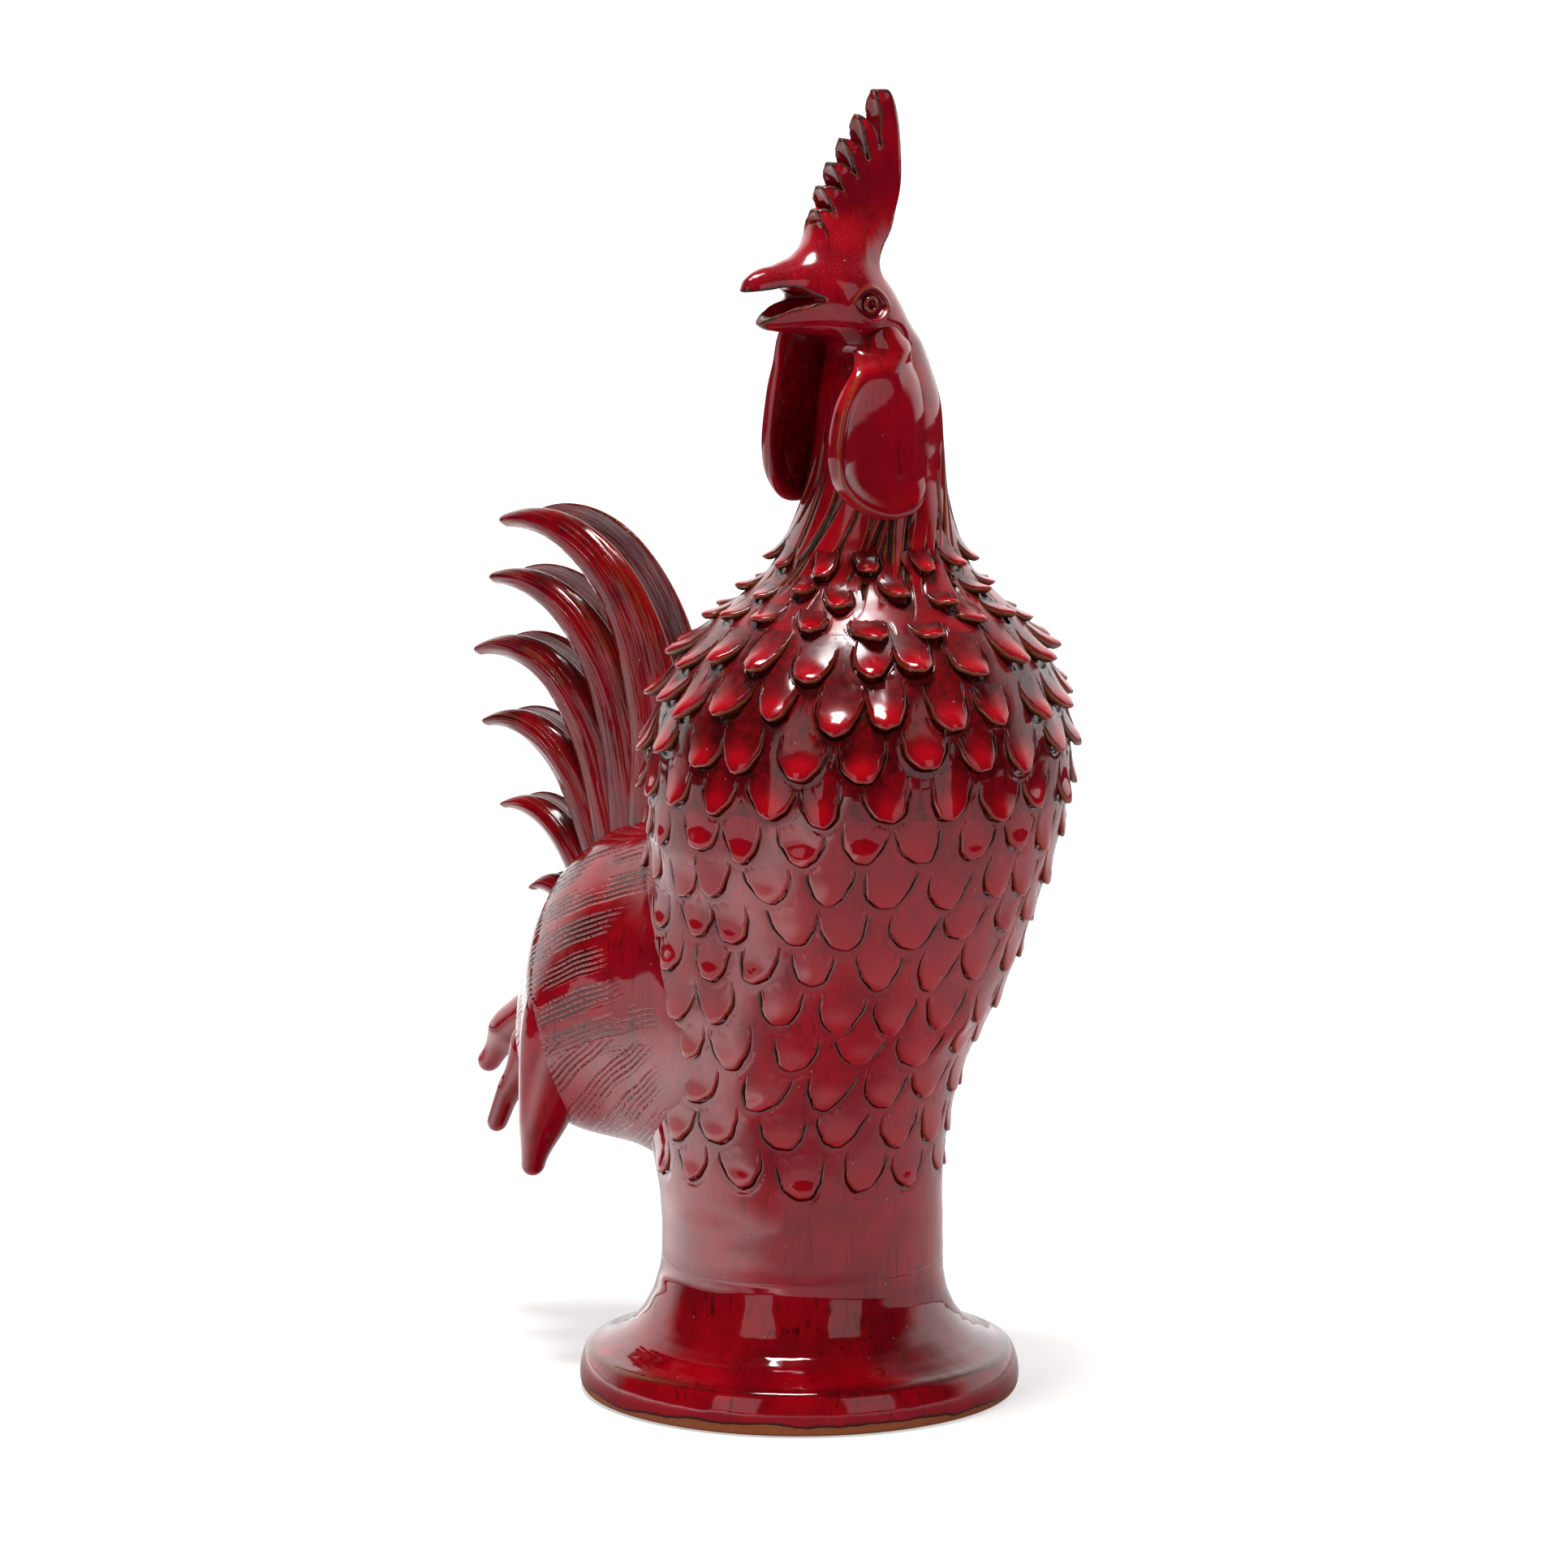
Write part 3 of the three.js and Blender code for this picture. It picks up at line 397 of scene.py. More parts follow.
def turned(profile, middle_x=0.0):
    """Rings of points from a profile of radius and height, thrown round the upright axis."""
    radius, height = np.asarray(profile, float).T
    return np.stack([middle_x + radius[:, None] * np.cos(angles), radius[:, None] * np.sin(angles),
                     np.repeat(height[:, None], AROUND, 1)], -1)


# Radius and height, from the rim that it stands on over the flange and up the cove to the waist
flange = [(78.2, 0), (79.8, 0.7), (80.9, 2.8), (81.2, 5.5), (80.9, 9), (80.2, 12), (79.2, 14.4), (78, 15.8),
          (76.3, 16.5), (74, 17.2), (70.2, 18.8), (66, 21), (62.2, 23.8), (58.8, 27.8), (56, 32.8), (54, 38),
          (52.7, 43.5), (52.1, 48), (52, 50), (51.4, 51)]
stations = np.linspace(0, len(flange) - 1, 96)
flange_profile = np.stack(through(flange, stations), -1)
rise = flange_profile[:, 1]
finger_marks = 0.12 * np.sin(rise * 1.7) * step(17, 19, rise) * step(30, 24, rise)
flange_profile[:, 0] += finger_marks + 0.05 * np.sin(rise * 0.8) * step(24, 34, rise) * step(50, 46, rise)
side = turned(flange_profile)
wavy = 0.0016 * np.sin(2 * angles + 1.0) + 0.0012 * np.sin(5 * angles)
side[..., :2] *= (1 + wavy)[None, :, None]
in_cove = (step(18, 26, rise) * step(50, 42, rise))[:, None]
pulled = 0.0035 * np.sin(5 * angles + 0.16 * rise[:, None]) * in_cove
side[..., :2] *= (1 + pulled)[..., None]
side[..., 0] += LEAN_AT_JOINT * step(28, 50, rise)[:, None]  # the body above it leans forward a little
vent = turned([(VENT_RADIUS, FLOOR_THICKNESS), (VENT_RADIUS, 0)], VENT_OFFSET)
underside = [vent[1] + (side[0] - vent[1]) * share for share in (0.03, 0.3, 0.6, 0.85, 0.97)]
foot_rings = np.concatenate([vent, np.stack(underside), side])
patchy = step(-0.7, 0.5, np.sin(3 * angles + 1) + np.cos(angles - 2.6))
arris = np.exp(-((rise - 15.7) / 0.6) ** 2)[:, None] * patchy
under_arris = (0.28 * step(14.2, 15.2, rise) * step(17.5, 16, rise))[:, None] + 0 * angles
hidden = np.zeros((len(foot_rings) - len(side), AROUND))
foot_marks = {"worn": np.concatenate([hidden, 0.85 * arris]), "pool_and_shade": np.concatenate([hidden, under_arris])}
glazed_foot = red_glaze("red_glaze_on_thrown_foot", bare_rim=True)
fit(clay_piece("foot_ring", foot_rings.reshape(-1, 3), ring_faces(len(foot_rings), AROUND), foot_marks),
    glazed_foot, "foot", "foot")


# Body
# The body is one thrown, hollow vase that leans forward. While the wall was soft its scales were cut with a
# knife in rows of U shapes, and each tip was pressed outward, most at the shoulder and least at the waist.

BELLY_RADIUS = 77
BELLY_HEIGHT = 240
BELLY_LEAN = 28
SHOULDER_RADIUS = 47.7
SHOULDER_HEIGHT = 297
SHOULDER_LEAN = 33
NECK_RADIUS = 23
THROAT_HEIGHT = 384
THROAT_LEAN = 37
FACING = math.radians(-50)  # the part of the skin that faces the camera

RUMP_REACH = 124
RUMP_FRONT = -14
RUMP_HALF_WIDTH = 55
RUMP_MIDDLE = 146
RUMP_HALF_HEIGHT = 63
RUMP_SQUARENESS = 2.2  # exponent of its section: 2 is round, more is squarer
JOINT_FILL = 26  # how far the smeared clay reaches on both sides of the joint of body and rump
JOINT_FLOW = 0.8  # share of the swelling that both skins take on there

# Shares of the way from one named size to the next: height, lean and radius
belly_line = [(0, 0.05, 0), (0.23, 0.09, 0), (0.39, 0.33, 0.07), (0.55, 0.62, 0.4), (0.71, 0.83, 0.66),
              (0.87, 0.94, 0.94), (1, 1, 1)]
shoulder_line = [(0.38, 0.28, 0.87), (0.66, 0.55, 0.61), (0.88, 0.88, 0.26), (1, 1, 0)]
neck_line = [(0.09, 0.12, 0.656), (0.27, 0.34, 0.328), (0.44, 0.67, 0.13), (0.64, 1, 0.02), (0.84, 1, -0.045),
             (1, 0.67, -0.175)]


def stretch(line, height, lean, radius):
    """A line of shares stretched between the named sizes at its two ends."""
    return [(height[0] + (height[1] - height[0]) * up, lean[0] + (lean[1] - lean[0]) * along,
             radius[0] + (radius[1] - radius[0]) * out) for up, along, out in line]


thrown_line = np.array(
    stretch(belly_line, (FOOT_HEIGHT, BELLY_HEIGHT), (0, BELLY_LEAN), (WAIST_RADIUS, BELLY_RADIUS))
    + stretch(shoulder_line, (BELLY_HEIGHT, SHOULDER_HEIGHT), (BELLY_LEAN, SHOULDER_LEAN),
              (SHOULDER_RADIUS, BELLY_RADIUS))
    + stretch(neck_line, (SHOULDER_HEIGHT, THROAT_HEIGHT), (SHOULDER_LEAN, THROAT_LEAN),
              (NECK_RADIUS, SHOULDER_RADIUS)))


def line_at(height):
    """Radius and lean of the thrown line."""
    lean, radius = read_table(thrown_line, height)
    return radius, lean


def slope_at(height):
    """Rise of the skin for each millimetre along it."""
    return 1 / np.sqrt(1 + ((line_at(height + 1)[0] - line_at(height - 1)[0]) / 2) ** 2)


# Along the rump: share of its reach, and its middle, height and width as shares of its named sizes
rump_shares = np.array([(0, 0, 1, 1), (0.33, 0, 0.99, 1), (0.56, -0.04, 0.96, 0.92),
                        (0.74, -0.12, 0.85, 0.76), (0.87, -0.19, 0.64, 0.56), (0.95, -0.24, 0.44, 0.38),
                        (1, -0.26, 0.2, 0.16)])


def fill_of(distance, reach):
    """How much a skin swells where another is this near, so that the two flow together."""
    return np.maximum(0, reach - np.abs(distance)) ** 2 / (4 * reach)


def off_rump(point):
    """Distance of points from the skin of the rump."""
    x, y, z = np.moveaxis(point, -1, 0)
    along = (RUMP_FRONT - x) / (RUMP_REACH + RUMP_FRONT)
    rise, tall, wide = read_table(rump_shares, np.clip(along, 0, 0.99))
    y_share = np.abs(y) / (RUMP_HALF_WIDTH * wide)
    z_share = np.abs(z - RUMP_MIDDLE - RUMP_HALF_HEIGHT * rise) / (RUMP_HALF_HEIGHT * tall)
    level = (y_share**RUMP_SQUARENESS + z_share**RUMP_SQUARENESS) ** (1 / RUMP_SQUARENESS)
    return (level - 1) * RUMP_HALF_WIDTH * wide + 60 * step(-0.3, -0.75, along)


def skin(angle, height, out=0.0):
    """Points on the thrown skin, or standing off it along its normal, with the joint to the rump filled."""
    angle, height, out = np.broadcast_arrays(*(np.asarray(v, float) for v in (angle, height, out)))
    radius, lean = line_at(height)
    higher, further = line_at(height + 1)
    c, s = np.cos(angle), np.sin(angle)
    point = np.stack([lean + radius * c, radius * s, height], -1)
    up = np.stack([further - lean + (higher - radius) * c, (higher - radius) * s, np.ones_like(c)], -1)
    normal = np.cross(np.stack([-s, c, np.zeros_like(c)], -1), up)
    normal /= np.linalg.norm(normal, axis=-1, keepdims=True)
    return point + normal * (out + JOINT_FLOW * fill_of(off_rump(point), JOINT_FILL))[..., None]


def turned_by(angle):
    """An angle brought to between half a turn back and half a turn on."""
    return (angle + math.pi) % (2 * math.pi) - math.pi


SCALE_ROWS = 13
SCALE_TOP = 275  # tip of the top row
SCALE_BOTTOM = 84  # tip of the bottom row
SCALE_PITCH = 21.5  # along a row
CUT_EDGE = 2.05  # exponent of the U shape
CUT_DEPTH = 1.1
CUT_SPREAD = 2.0  # how far from a cut the skin sinks to it
CUT_REACH = (24, 30)  # across and down from a cut's tip, beyond which it changes nothing
NEIGHBOUR_REACH = 34  # across, within which another cut may cross a tongue


def cut_rows(rows, counts, width_share, seed, depth, lift, puff, power, twist=0.0):
    """Every U-shaped cut of a run of rows, with the unevenness of handwork."""
    chance = np.random.default_rng(seed)
    cuts = []
    for row, tip_height in enumerate(rows):
        down = row / max(1, len(rows) - 1)
        radius = line_at(tip_height)[0]
        count = counts[row]
        for column in range(count):
            uneven = chance.uniform(-1, 1, 8)
            cuts.append({
                "row": row, "radius": radius, "slope": float(slope_at(tip_height)), "twist": twist,
                "angle": FACING + (column + 0.5 * (row % 2) + 0.13 * uneven[0]) / count * 2 * math.pi,
                "tip": tip_height + 2.3 * uneven[1],
                "half": math.pi * radius / count * width_share * (1 + 0.13 * uneven[2]),
                "depth": depth(down) * (1 + 0.15 * uneven[3]),
                "lift": lift(down) * (1 + 0.25 * uneven[4]),
                "puff": puff(down) * (1 + 0.7 * uneven[5]),
                "power": power(down), "tilt": 0.17 * uneven[6],
            })
    return cuts


def in_cut(cut, angle, height):
    """Across and down in a cut, in millimetres along the skin, from the middle of its open top."""
    down = (cut["tip"] - height) / cut["slope"] + cut["depth"]
    lean_over = cut["tilt"] + cut["twist"] * cut["radius"] * cut["slope"]
    across = turned_by(angle - cut["angle"]) * cut["radius"] - (down - cut["depth"]) * lean_over
    return across, down


def from_cut(cut, across, down):
    """Angle and height on the skin of a place in a cut."""
    lean_over = cut["tilt"] + cut["twist"] * cut["radius"] * cut["slope"]
    angle = cut["angle"] + (across + (down - cut["depth"]) * lean_over) / cut["radius"]
    return angle, cut["tip"] + (cut["depth"] - down) * cut["slope"]


def cut_marks(cuts, angle, height):
    """How far the skin sinks to the cuts, and its pooled glaze and painted shadow under each lifted tip."""
    dip = np.zeros_like(angle)
    pool_and_shade = np.zeros_like(angle)
    for cut in cuts:
        aside = np.abs(turned_by(angle - cut["angle"])) * cut["radius"]
        near = (aside < CUT_REACH[0]) & (np.abs(height - cut["tip"]) < CUT_REACH[1])
        if not near.any():
            continue
        across, down = in_cut(cut, angle[near], height[near])
        below = np.maximum(down, 0)
        level = (np.abs(across) / cut["half"]) ** CUT_EDGE + (below / cut["depth"]) ** CUT_EDGE
        level = level ** (1 / CUT_EDGE)
        out = np.hypot(across, below) * (1 - 1 / np.maximum(level, 0.05))
        there = step(0.0, 0.45, down / cut["depth"])
        sunk = np.where(out > 0, 1 - step(1.0, CUT_SPREAD, out), 1 - step(1.5, 6.0, -out))
        dip[near] = np.maximum(dip[near], sunk * there * CUT_DEPTH)
        # Painted shadow under the lifted tip, wider and darker the more it is lifted, over the pooled glaze
        # in the cut.
        fall = np.exp(-np.maximum(out, 0) / (1.0 + 0.42 * cut["lift"]))
        pool_and_shade[near] = np.maximum(pool_and_shade[near], fall * there * step(-1.2, 0, out) * (0.14 + 0.09 * cut["lift"]))
    return dip, pool_and_shade


SIDE_STEPS = 19  # points round the U
SHOULDER_DARKENING = 0.34  # how much darker the glaze is painted between the scales of the shoulder
# Shares of the way from the tongue's root to its edge
INNER_SHARES = (0, 0.25, 0.46, 0.62, 0.74, 0.83)
# Steps over the rounded edge: how far in from it and how far down, as shares of its rounding
EDGE_STEPS = ((0.95, 0.0), (0.6, 0.07), (0.3, 0.24), (0.1, 0.5), (0.0, 0.9))
# Steps outside the edge: how far out, how far down and how dark with pooled glaze and painted shade
COLLAR_STEPS = ((0.1, -1.5, 1.0), (0.28, -1.2, 1.0), (0.52, -0.12, 0.5), (1.1, 0.02, 0.12), (3.8, 0.03, 0.0))


def tongues(cuts, root_share=0.45, root_width=0.6, stand=0.0):
    """The clay in and round each U: a tongue that leaves the skin at its root and stands off it at its edge,
    its wall and hollow under the edge, dark with pooled glaze and painted shade, and the collar of skin that
    falls into the cut."""
    points, faces, pool_and_shade, worn, swollen = [], [], [], [], []
    sweep = np.linspace(-1, 1, SIDE_STEPS) * math.pi / 2
    edge_x = np.sign(np.sin(sweep)) * np.abs(np.sin(sweep)) ** (2 / CUT_EDGE)
    edge_y = np.abs(np.cos(sweep)) ** (2 / CUT_EDGE)
    edge_y[[0, -1]] = 0
    held = step(0.0, 0.42, edge_y)
    first = 0
    for cut in cuts:
        half, depth, lift, power = (cut[key] for key in ("half", "depth", "lift", "power"))
        rounding = 0.75 + 0.16 * lift
        away_x, away_y = edge_x / half, edge_y / depth
        length = np.hypot(away_x, away_y)
        away_x, away_y = away_x / length, away_y / length
        shake = 0.28 * np.sin(5 * sweep + 40 * cut["angle"]) + 0.2 * np.sin(11 * sweep + 3 * cut["tip"])

        def stands(across, down):
            rise = np.clip((down / depth + 0.12) / 1.12, 0, 1)
            flare = np.exp(-((down / depth - 0.8) / 0.22) ** 2 - (across / (0.55 * half)) ** 2)
            return lift * rise**power * (1 - 0.2 * (across / half) ** 2) + cut["puff"] * flare + stand * rise

        rows, pooled_and_shaded_wall, thin = [], [], []
        for share in INNER_SHARES:
            across = edge_x * half * (root_width * (1 - share) + share)
            down = -root_share * depth * (1 - share) + edge_y * depth * share
            rows.append((across, down, stands(across, down) - 0.12 * (1 - step(0, 0.3, share))))
            pooled_and_shaded_wall.append(0 * sweep)
            thin.append(0 * sweep)
        for inward, drop in EDGE_STEPS:
            across = edge_x * half - away_x * (inward * rounding + shake * held)
            down = edge_y * depth - away_y * (inward * rounding + shake * held)
            rows.append((across, down, stands(across, down) - drop * rounding * held))
            pooled_and_shaded_wall.append(0.25 * drop * held)
            thin.append(step(0.2, 0.5, drop) * held)
        edge_stand = rows[-1][2]
        # The wall under the edge looks down into the cut: pooled glaze and painted shade, darkest at its
        # foot.
        for inward, drop, shade in ((0.1, 0.5, 0.8), (0.5, 0.9, 1.0), (4.5, 1.2, 1.0)):
            inward = inward + shake * held
            across, down = edge_x * half - away_x * inward, edge_y * depth - away_y * inward
            rows.append((across, down, np.maximum(edge_stand - drop * (0.6 + 0.35 * lift), -1.6)))
            pooled_and_shaded_wall.append(shade * held)
            thin.append(0.3 * (shade < 0.9) * held)
        count = len(rows)
        for out, fall, shade in COLLAR_STEPS:
            wide = out * (1 + 0.12 * lift) * (0.45 + 0.55 * held**2) - shake * held if out < 3 else out
            rows.append((edge_x * half + away_x * wide, edge_y * depth + away_y * wide,
                         np.where(fall < 0, fall * held + 0.04 * (1 - held), fall)))
            pooled_and_shaded_wall.append(shade * held)
            thin.append(0 * sweep)
        across, down, off = (np.stack([row[i] for row in rows]) for i in range(3))
        angle, height = from_cut(cut, across, down)
        near = [other for other in cuts if other is not cut
                and abs(turned_by(other["angle"] - cut["angle"])) * cut["radius"] < NEIGHBOUR_REACH]
        above = [other for other in near if cut["row"] - 2 <= other["row"] < cut["row"]]
        beside = [other for other in near if other["row"] == cut["row"]]
        dip, shadow = cut_marks(above, angle, height)
        _, shadow[count:] = cut_marks(above + beside + [cut], angle[count:], height[count:])
        dip[count:], _ = cut_marks(above + beside, angle[count:], height[count:])
        points.append(skin(angle, height, off - dip).reshape(-1, 3))
        faces.append(ring_faces(count, SIDE_STEPS, closed=False, first=first))
        collar_first = first + count * SIDE_STEPS
        faces.append(ring_faces(len(COLLAR_STEPS), SIDE_STEPS, closed=False, first=collar_first))
        first += across.size
        bulge = np.exp(-((down / depth - 0.72) / 0.3) ** 2 - (across / (0.6 * half)) ** 2)
        bulge[count:] = 0
        between = SHOULDER_DARKENING * float(step(200, 245, cut["tip"])) * (1 - np.clip(1.3 * bulge, 0, 1))
        pool_and_shade.append(np.maximum(np.maximum(np.stack(pooled_and_shaded_wall), shadow), between).ravel())
        worn.append(np.stack(thin).ravel())
        swollen.append((0.8 * bulge).ravel())
    marks = {"pool_and_shade": pool_and_shade, "worn": worn, "swollen": swollen}
    return np.concatenate(points), np.concatenate(faces), {key: np.concatenate(marks[key]) for key in marks}


def on_rump(cut):
    """True where the rump covers the middle of a scale."""
    point = skin(cut["angle"], cut["tip"] + cut["depth"] * 0.4)
    return bool(off_rump(point) < 2.0)


def high_up(down):
    """1 on the shoulder rows and 0 from the fifth row down."""
    return float(step(0.38, 0.04, down))


scale_tips = np.linspace(SCALE_TOP, SCALE_BOTTOM, SCALE_ROWS)
scale_counts = [round(2 * math.pi * line_at(tip_height)[0] / SCALE_PITCH) for tip_height in scale_tips]
scales = cut_rows(scale_tips, scale_counts, 0.79, seed=5,
                  depth=lambda down: 16.3 - 1.2 * down,
                  lift=lambda down: 1.5 + 3.4 * high_up(down) + 0.5 * float(step(0.7, 0.3, down)),
                  puff=lambda down: 0.85 + 0.3 * high_up(down) - 0.35 * down,
                  power=lambda down: 2.9 - 1.1 * high_up(down))
scales = [cut for cut in scales if not on_rump(cut)]

# The hackles are cut round the joint of body and neck, so the skins of both sink to them
HACKLE_TIPS = (308, 299, 290)
HACKLE_COUNTS = (12, 14, 16)
GROOVE_TWIST = math.radians(50)
neck_rise = THROAT_HEIGHT - SHOULDER_HEIGHT
hackles = cut_rows(HACKLE_TIPS, HACKLE_COUNTS, 0.62, seed=12, twist=0.6 * GROOVE_TWIST / neck_rise,
                   depth=lambda down: 10.0, lift=lambda down: 4.2, puff=lambda down: 0.5,
                   power=lambda down: 1.7)
plain_heights = np.linspace(FOOT_HEIGHT - 0.2, 70, 14)[:-1]
heights = np.concatenate([plain_heights, np.linspace(70, SHOULDER_HEIGHT + 2, 140)])
grid_angle, grid_height = np.meshgrid(angles, heights)
dip, skin_pool_and_shade = cut_marks(scales + hackles, grid_angle, grid_height)
throwing = 0.07 * np.sin(grid_height * 0.4 + 0.4 * np.sin(grid_angle)) * step(100, 70, grid_height)
skin_pool_and_shade = np.maximum(skin_pool_and_shade, SHOULDER_DARKENING * step(195, 240, grid_height))
skin_points = skin(grid_angle, grid_height, throwing * step(50, 56, grid_height) - dip)
tongue_points, tongue_faces, tongue_marks = tongues(scales)
skin_count = grid_angle.size
body_marks = {"pool_and_shade": skin_pool_and_shade.ravel(), "worn": np.zeros(skin_count), "swollen": np.zeros(skin_count)}
body_marks = {key: np.concatenate([body_marks[key], tongue_marks[key]]) for key in body_marks}
body_faces = np.concatenate([ring_faces(len(heights), AROUND), tongue_faces + skin_count])
glazed_scales = red_glaze("red_glaze_on_cut_scales", painted_top_sheen=0.25, frosting=0.2)
body_points = np.concatenate([skin_points.reshape(-1, 3), tongue_points])
fit(clay_piece("body_scaled", body_points, body_faces, body_marks), glazed_scales, "body", "body")


# Neck
# The neck is the thrown vase drawn in. Long hackles were scored down it with a loop, wandering and uneven,
# and their ends were cut and lifted in three rows that hang over the top scales of the body.

GROOVE_COUNT = 44
NECK_BOTTOM = 286  # the neck's clay is smeared down over the body's to here
neck_heights = np.linspace(NECK_BOTTOM, THROAT_HEIGHT, 130)
grid_angle, grid_height = np.meshgrid(np.arange(2 * AROUND) / AROUND * math.pi, neck_heights)
chance = np.random.default_rng(3)
groove = np.zeros_like(grid_angle)
for number in range(GROOVE_COUNT):
    wander, bottom, top, deep = chance.uniform(-1, 1, 4)
    centre = (number + 0.45 * wander) / GROOVE_COUNT * 2 * math.pi
    centre = centre + GROOVE_TWIST * (grid_height - SHOULDER_HEIGHT) / neck_rise
    centre = centre + 0.09 * np.sin(grid_height * (0.08 + 0.03 * top) + 9 * wander)
    off = np.abs(turned_by(grid_angle - centre)) * line_at(grid_height)[0]
    start, end = 303 + 8 * bottom, 343 + 22 * top
    held = step(start - 3, start + 3, grid_height) * step(end + 8, end - 12, grid_height)
    groove = np.maximum(groove, np.exp(-(off / (0.7 + 0.3 * deep)) ** 2) * held * (0.8 + 0.2 * deep))
dip, neck_pool_and_shade = cut_marks(scales + hackles, grid_angle, grid_height)
skirt = -0.8 + 0.9 * step(NECK_BOTTOM, NECK_BOTTOM + 6, grid_height)
neck_points = skin(grid_angle, grid_height, skirt - dip - 1.5 * groove)
neck_count = grid_angle.size
lip = np.clip(np.maximum(np.roll(groove, 2, 1), np.roll(groove, -2, 1)) - groove, 0, 1)
tongue_points, tongue_faces, tongue_marks = tongues(hackles, root_share=0.9, root_width=0.5, stand=0.5)
neck_marks = {"pool_and_shade": np.maximum(neck_pool_and_shade, 1.1 * groove).ravel(),
              "worn": (0.8 * step(0.25, 0.6, lip)).ravel(),
              "swollen": np.zeros(neck_count)}
neck_marks = {key: np.concatenate([neck_marks[key], tongue_marks[key]]) for key in neck_marks}
neck_faces = np.concatenate([ring_faces(len(neck_heights), 2 * AROUND), tongue_faces + neck_count])
glazed_neck = red_glaze("red_glaze_on_scored_neck", painted_top_sheen=0.1, frosting=0.2)
neck_points = np.concatenate([neck_points.reshape(-1, 3), tongue_points])
fit(clay_piece("neck_hackles", neck_points, neck_faces, neck_marks), glazed_neck, "neck", "neck")


# Rump
# The rump is a hollow bulge pinched from a slab and luted on behind. While leather hard it was combed with a
# serrated rib: curved bands of strokes above, crossed diagonally below, so the glaze breaks on every ridge.

STROKE_SPACING = 2.05
RUMP_ROUND = 180  # points round it
walk = np.concatenate([np.linspace(0, 5, 80)[:-1], np.linspace(5, 6, 24)])
along, rise, tall, wide = through(rump_shares, walk)
close = np.linspace(0, math.pi / 2, 7)[1:]
along = np.concatenate([along, along[-1] + 0.012 * np.sin(close)])
along = along - 0.3 * step(1, 0, np.concatenate([walk, 6 + close]))
rise = np.concatenate([rise, rise[-1] + 0 * close])
tall, wide = (np.concatenate([values, values[-1] * np.cos(close)]) for values in (tall, wide))
turn = evenly_round(RUMP_ROUND)
across = np.sign(np.cos(turn)) * np.abs(np.cos(turn)) ** 0.9
upward = np.sign(np.sin(turn)) * np.abs(np.sin(turn)) ** 0.9
rump_x = RUMP_FRONT + (-RUMP_REACH - RUMP_FRONT) * along[:, None] + 0 * turn
rump_y = RUMP_HALF_WIDTH * wide[:, None] * across
rump_z = RUMP_MIDDLE + RUMP_HALF_HEIGHT * (rise[:, None] + tall[:, None] * upward)
body_radius, body_lean = line_at(rump_z)
off_body = (np.hypot(rump_x - body_lean, rump_y) - body_radius) * slope_at(rump_z)
fill = JOINT_FLOW * fill_of(off_body, JOINT_FILL)
rump_x -= 0.35 * fill * np.clip(off_body / JOINT_FILL, 0, 1)
rump_y += fill * across
rump_z += fill * upward
rump_points = np.stack([rump_x, rump_y, rump_z], -1)

# The lines of the five fingers that hang from it: how far to the side as a share of its half width, how far
# the root is tucked in, then distance behind the rump, distance below its middle and thickness as a share of
# the finger's radius at the hidden end, root, knee and tip
FINGER_RADIUS = 4.6
FINGER_FLATNESS = 0.85  # its thickness as a share of its width
FINGER_FILL = 24  # how far the smeared clay reaches on both sides of a finger's joint
FINGER_FLOW = 0.85  # share of the swelling that both skins take on there
FINGER_STATIONS = 60
TIP_STATIONS = 8
FINGER_ROUND = 28
centre_finger = (0, 0.5, (-26, 2, 0.3), (-11, 12, 1.4), (17, 29, 0.95), (30, 43.5, 1.1))
rear_finger = (0.436, 0.5, (-30, 0, 0.3), (-16, 22, 1.5), (-3, 44, 1.15), (4.5, 60, 0.95))
flank_finger = (0.818, 0.1, (-42, -4, 1.0), (-39, 20, 1.95), (-36, 50, 1.85), (-32.5, 67.5, 1.1))
finger_lines = []
for name, (side_share, tucked, *stops), sign in (
        ("finger_centre", centre_finger, 0), ("finger_right_rear", rear_finger, -1),
        ("finger_right_flank", flank_finger, -1), ("finger_left_rear", rear_finger, 1),
        ("finger_left_flank", flank_finger, 1)):
    t = np.concatenate([np.linspace(0, 3, FINGER_STATIONS), np.full(TIP_STATIONS, 3.0)])
    behind, below, thick = through(stops, t)
    aside = sign * side_share * RUMP_HALF_WIDTH * (1 - tucked * step(2.2, 0.5, t))
    line = np.stack([-RUMP_REACH - behind, aside, RUMP_MIDDLE - below], -1)
    finger_lines.append((name, t, line, FINGER_RADIUS * thick))

swell = np.zeros(rump_x.shape)
for _, _, line, radius in finger_lines:
    gap = np.full(rump_x.shape, 99.0)
    for place, thick in zip(line[10:FINGER_STATIONS:2], radius[10:FINGER_STATIONS:2]):
        gap = np.minimum(gap, np.linalg.norm(rump_points - place, axis=-1) - thick)
    swell = np.maximum(swell, fill_of(np.maximum(gap, 0), FINGER_FILL))
rump_points[..., 1] += FINGER_FLOW * swell * across
rump_points[..., 2] += FINGER_FLOW * swell * upward
rump_x, rump_y, rump_z = np.moveaxis(rump_points, -1, 0)
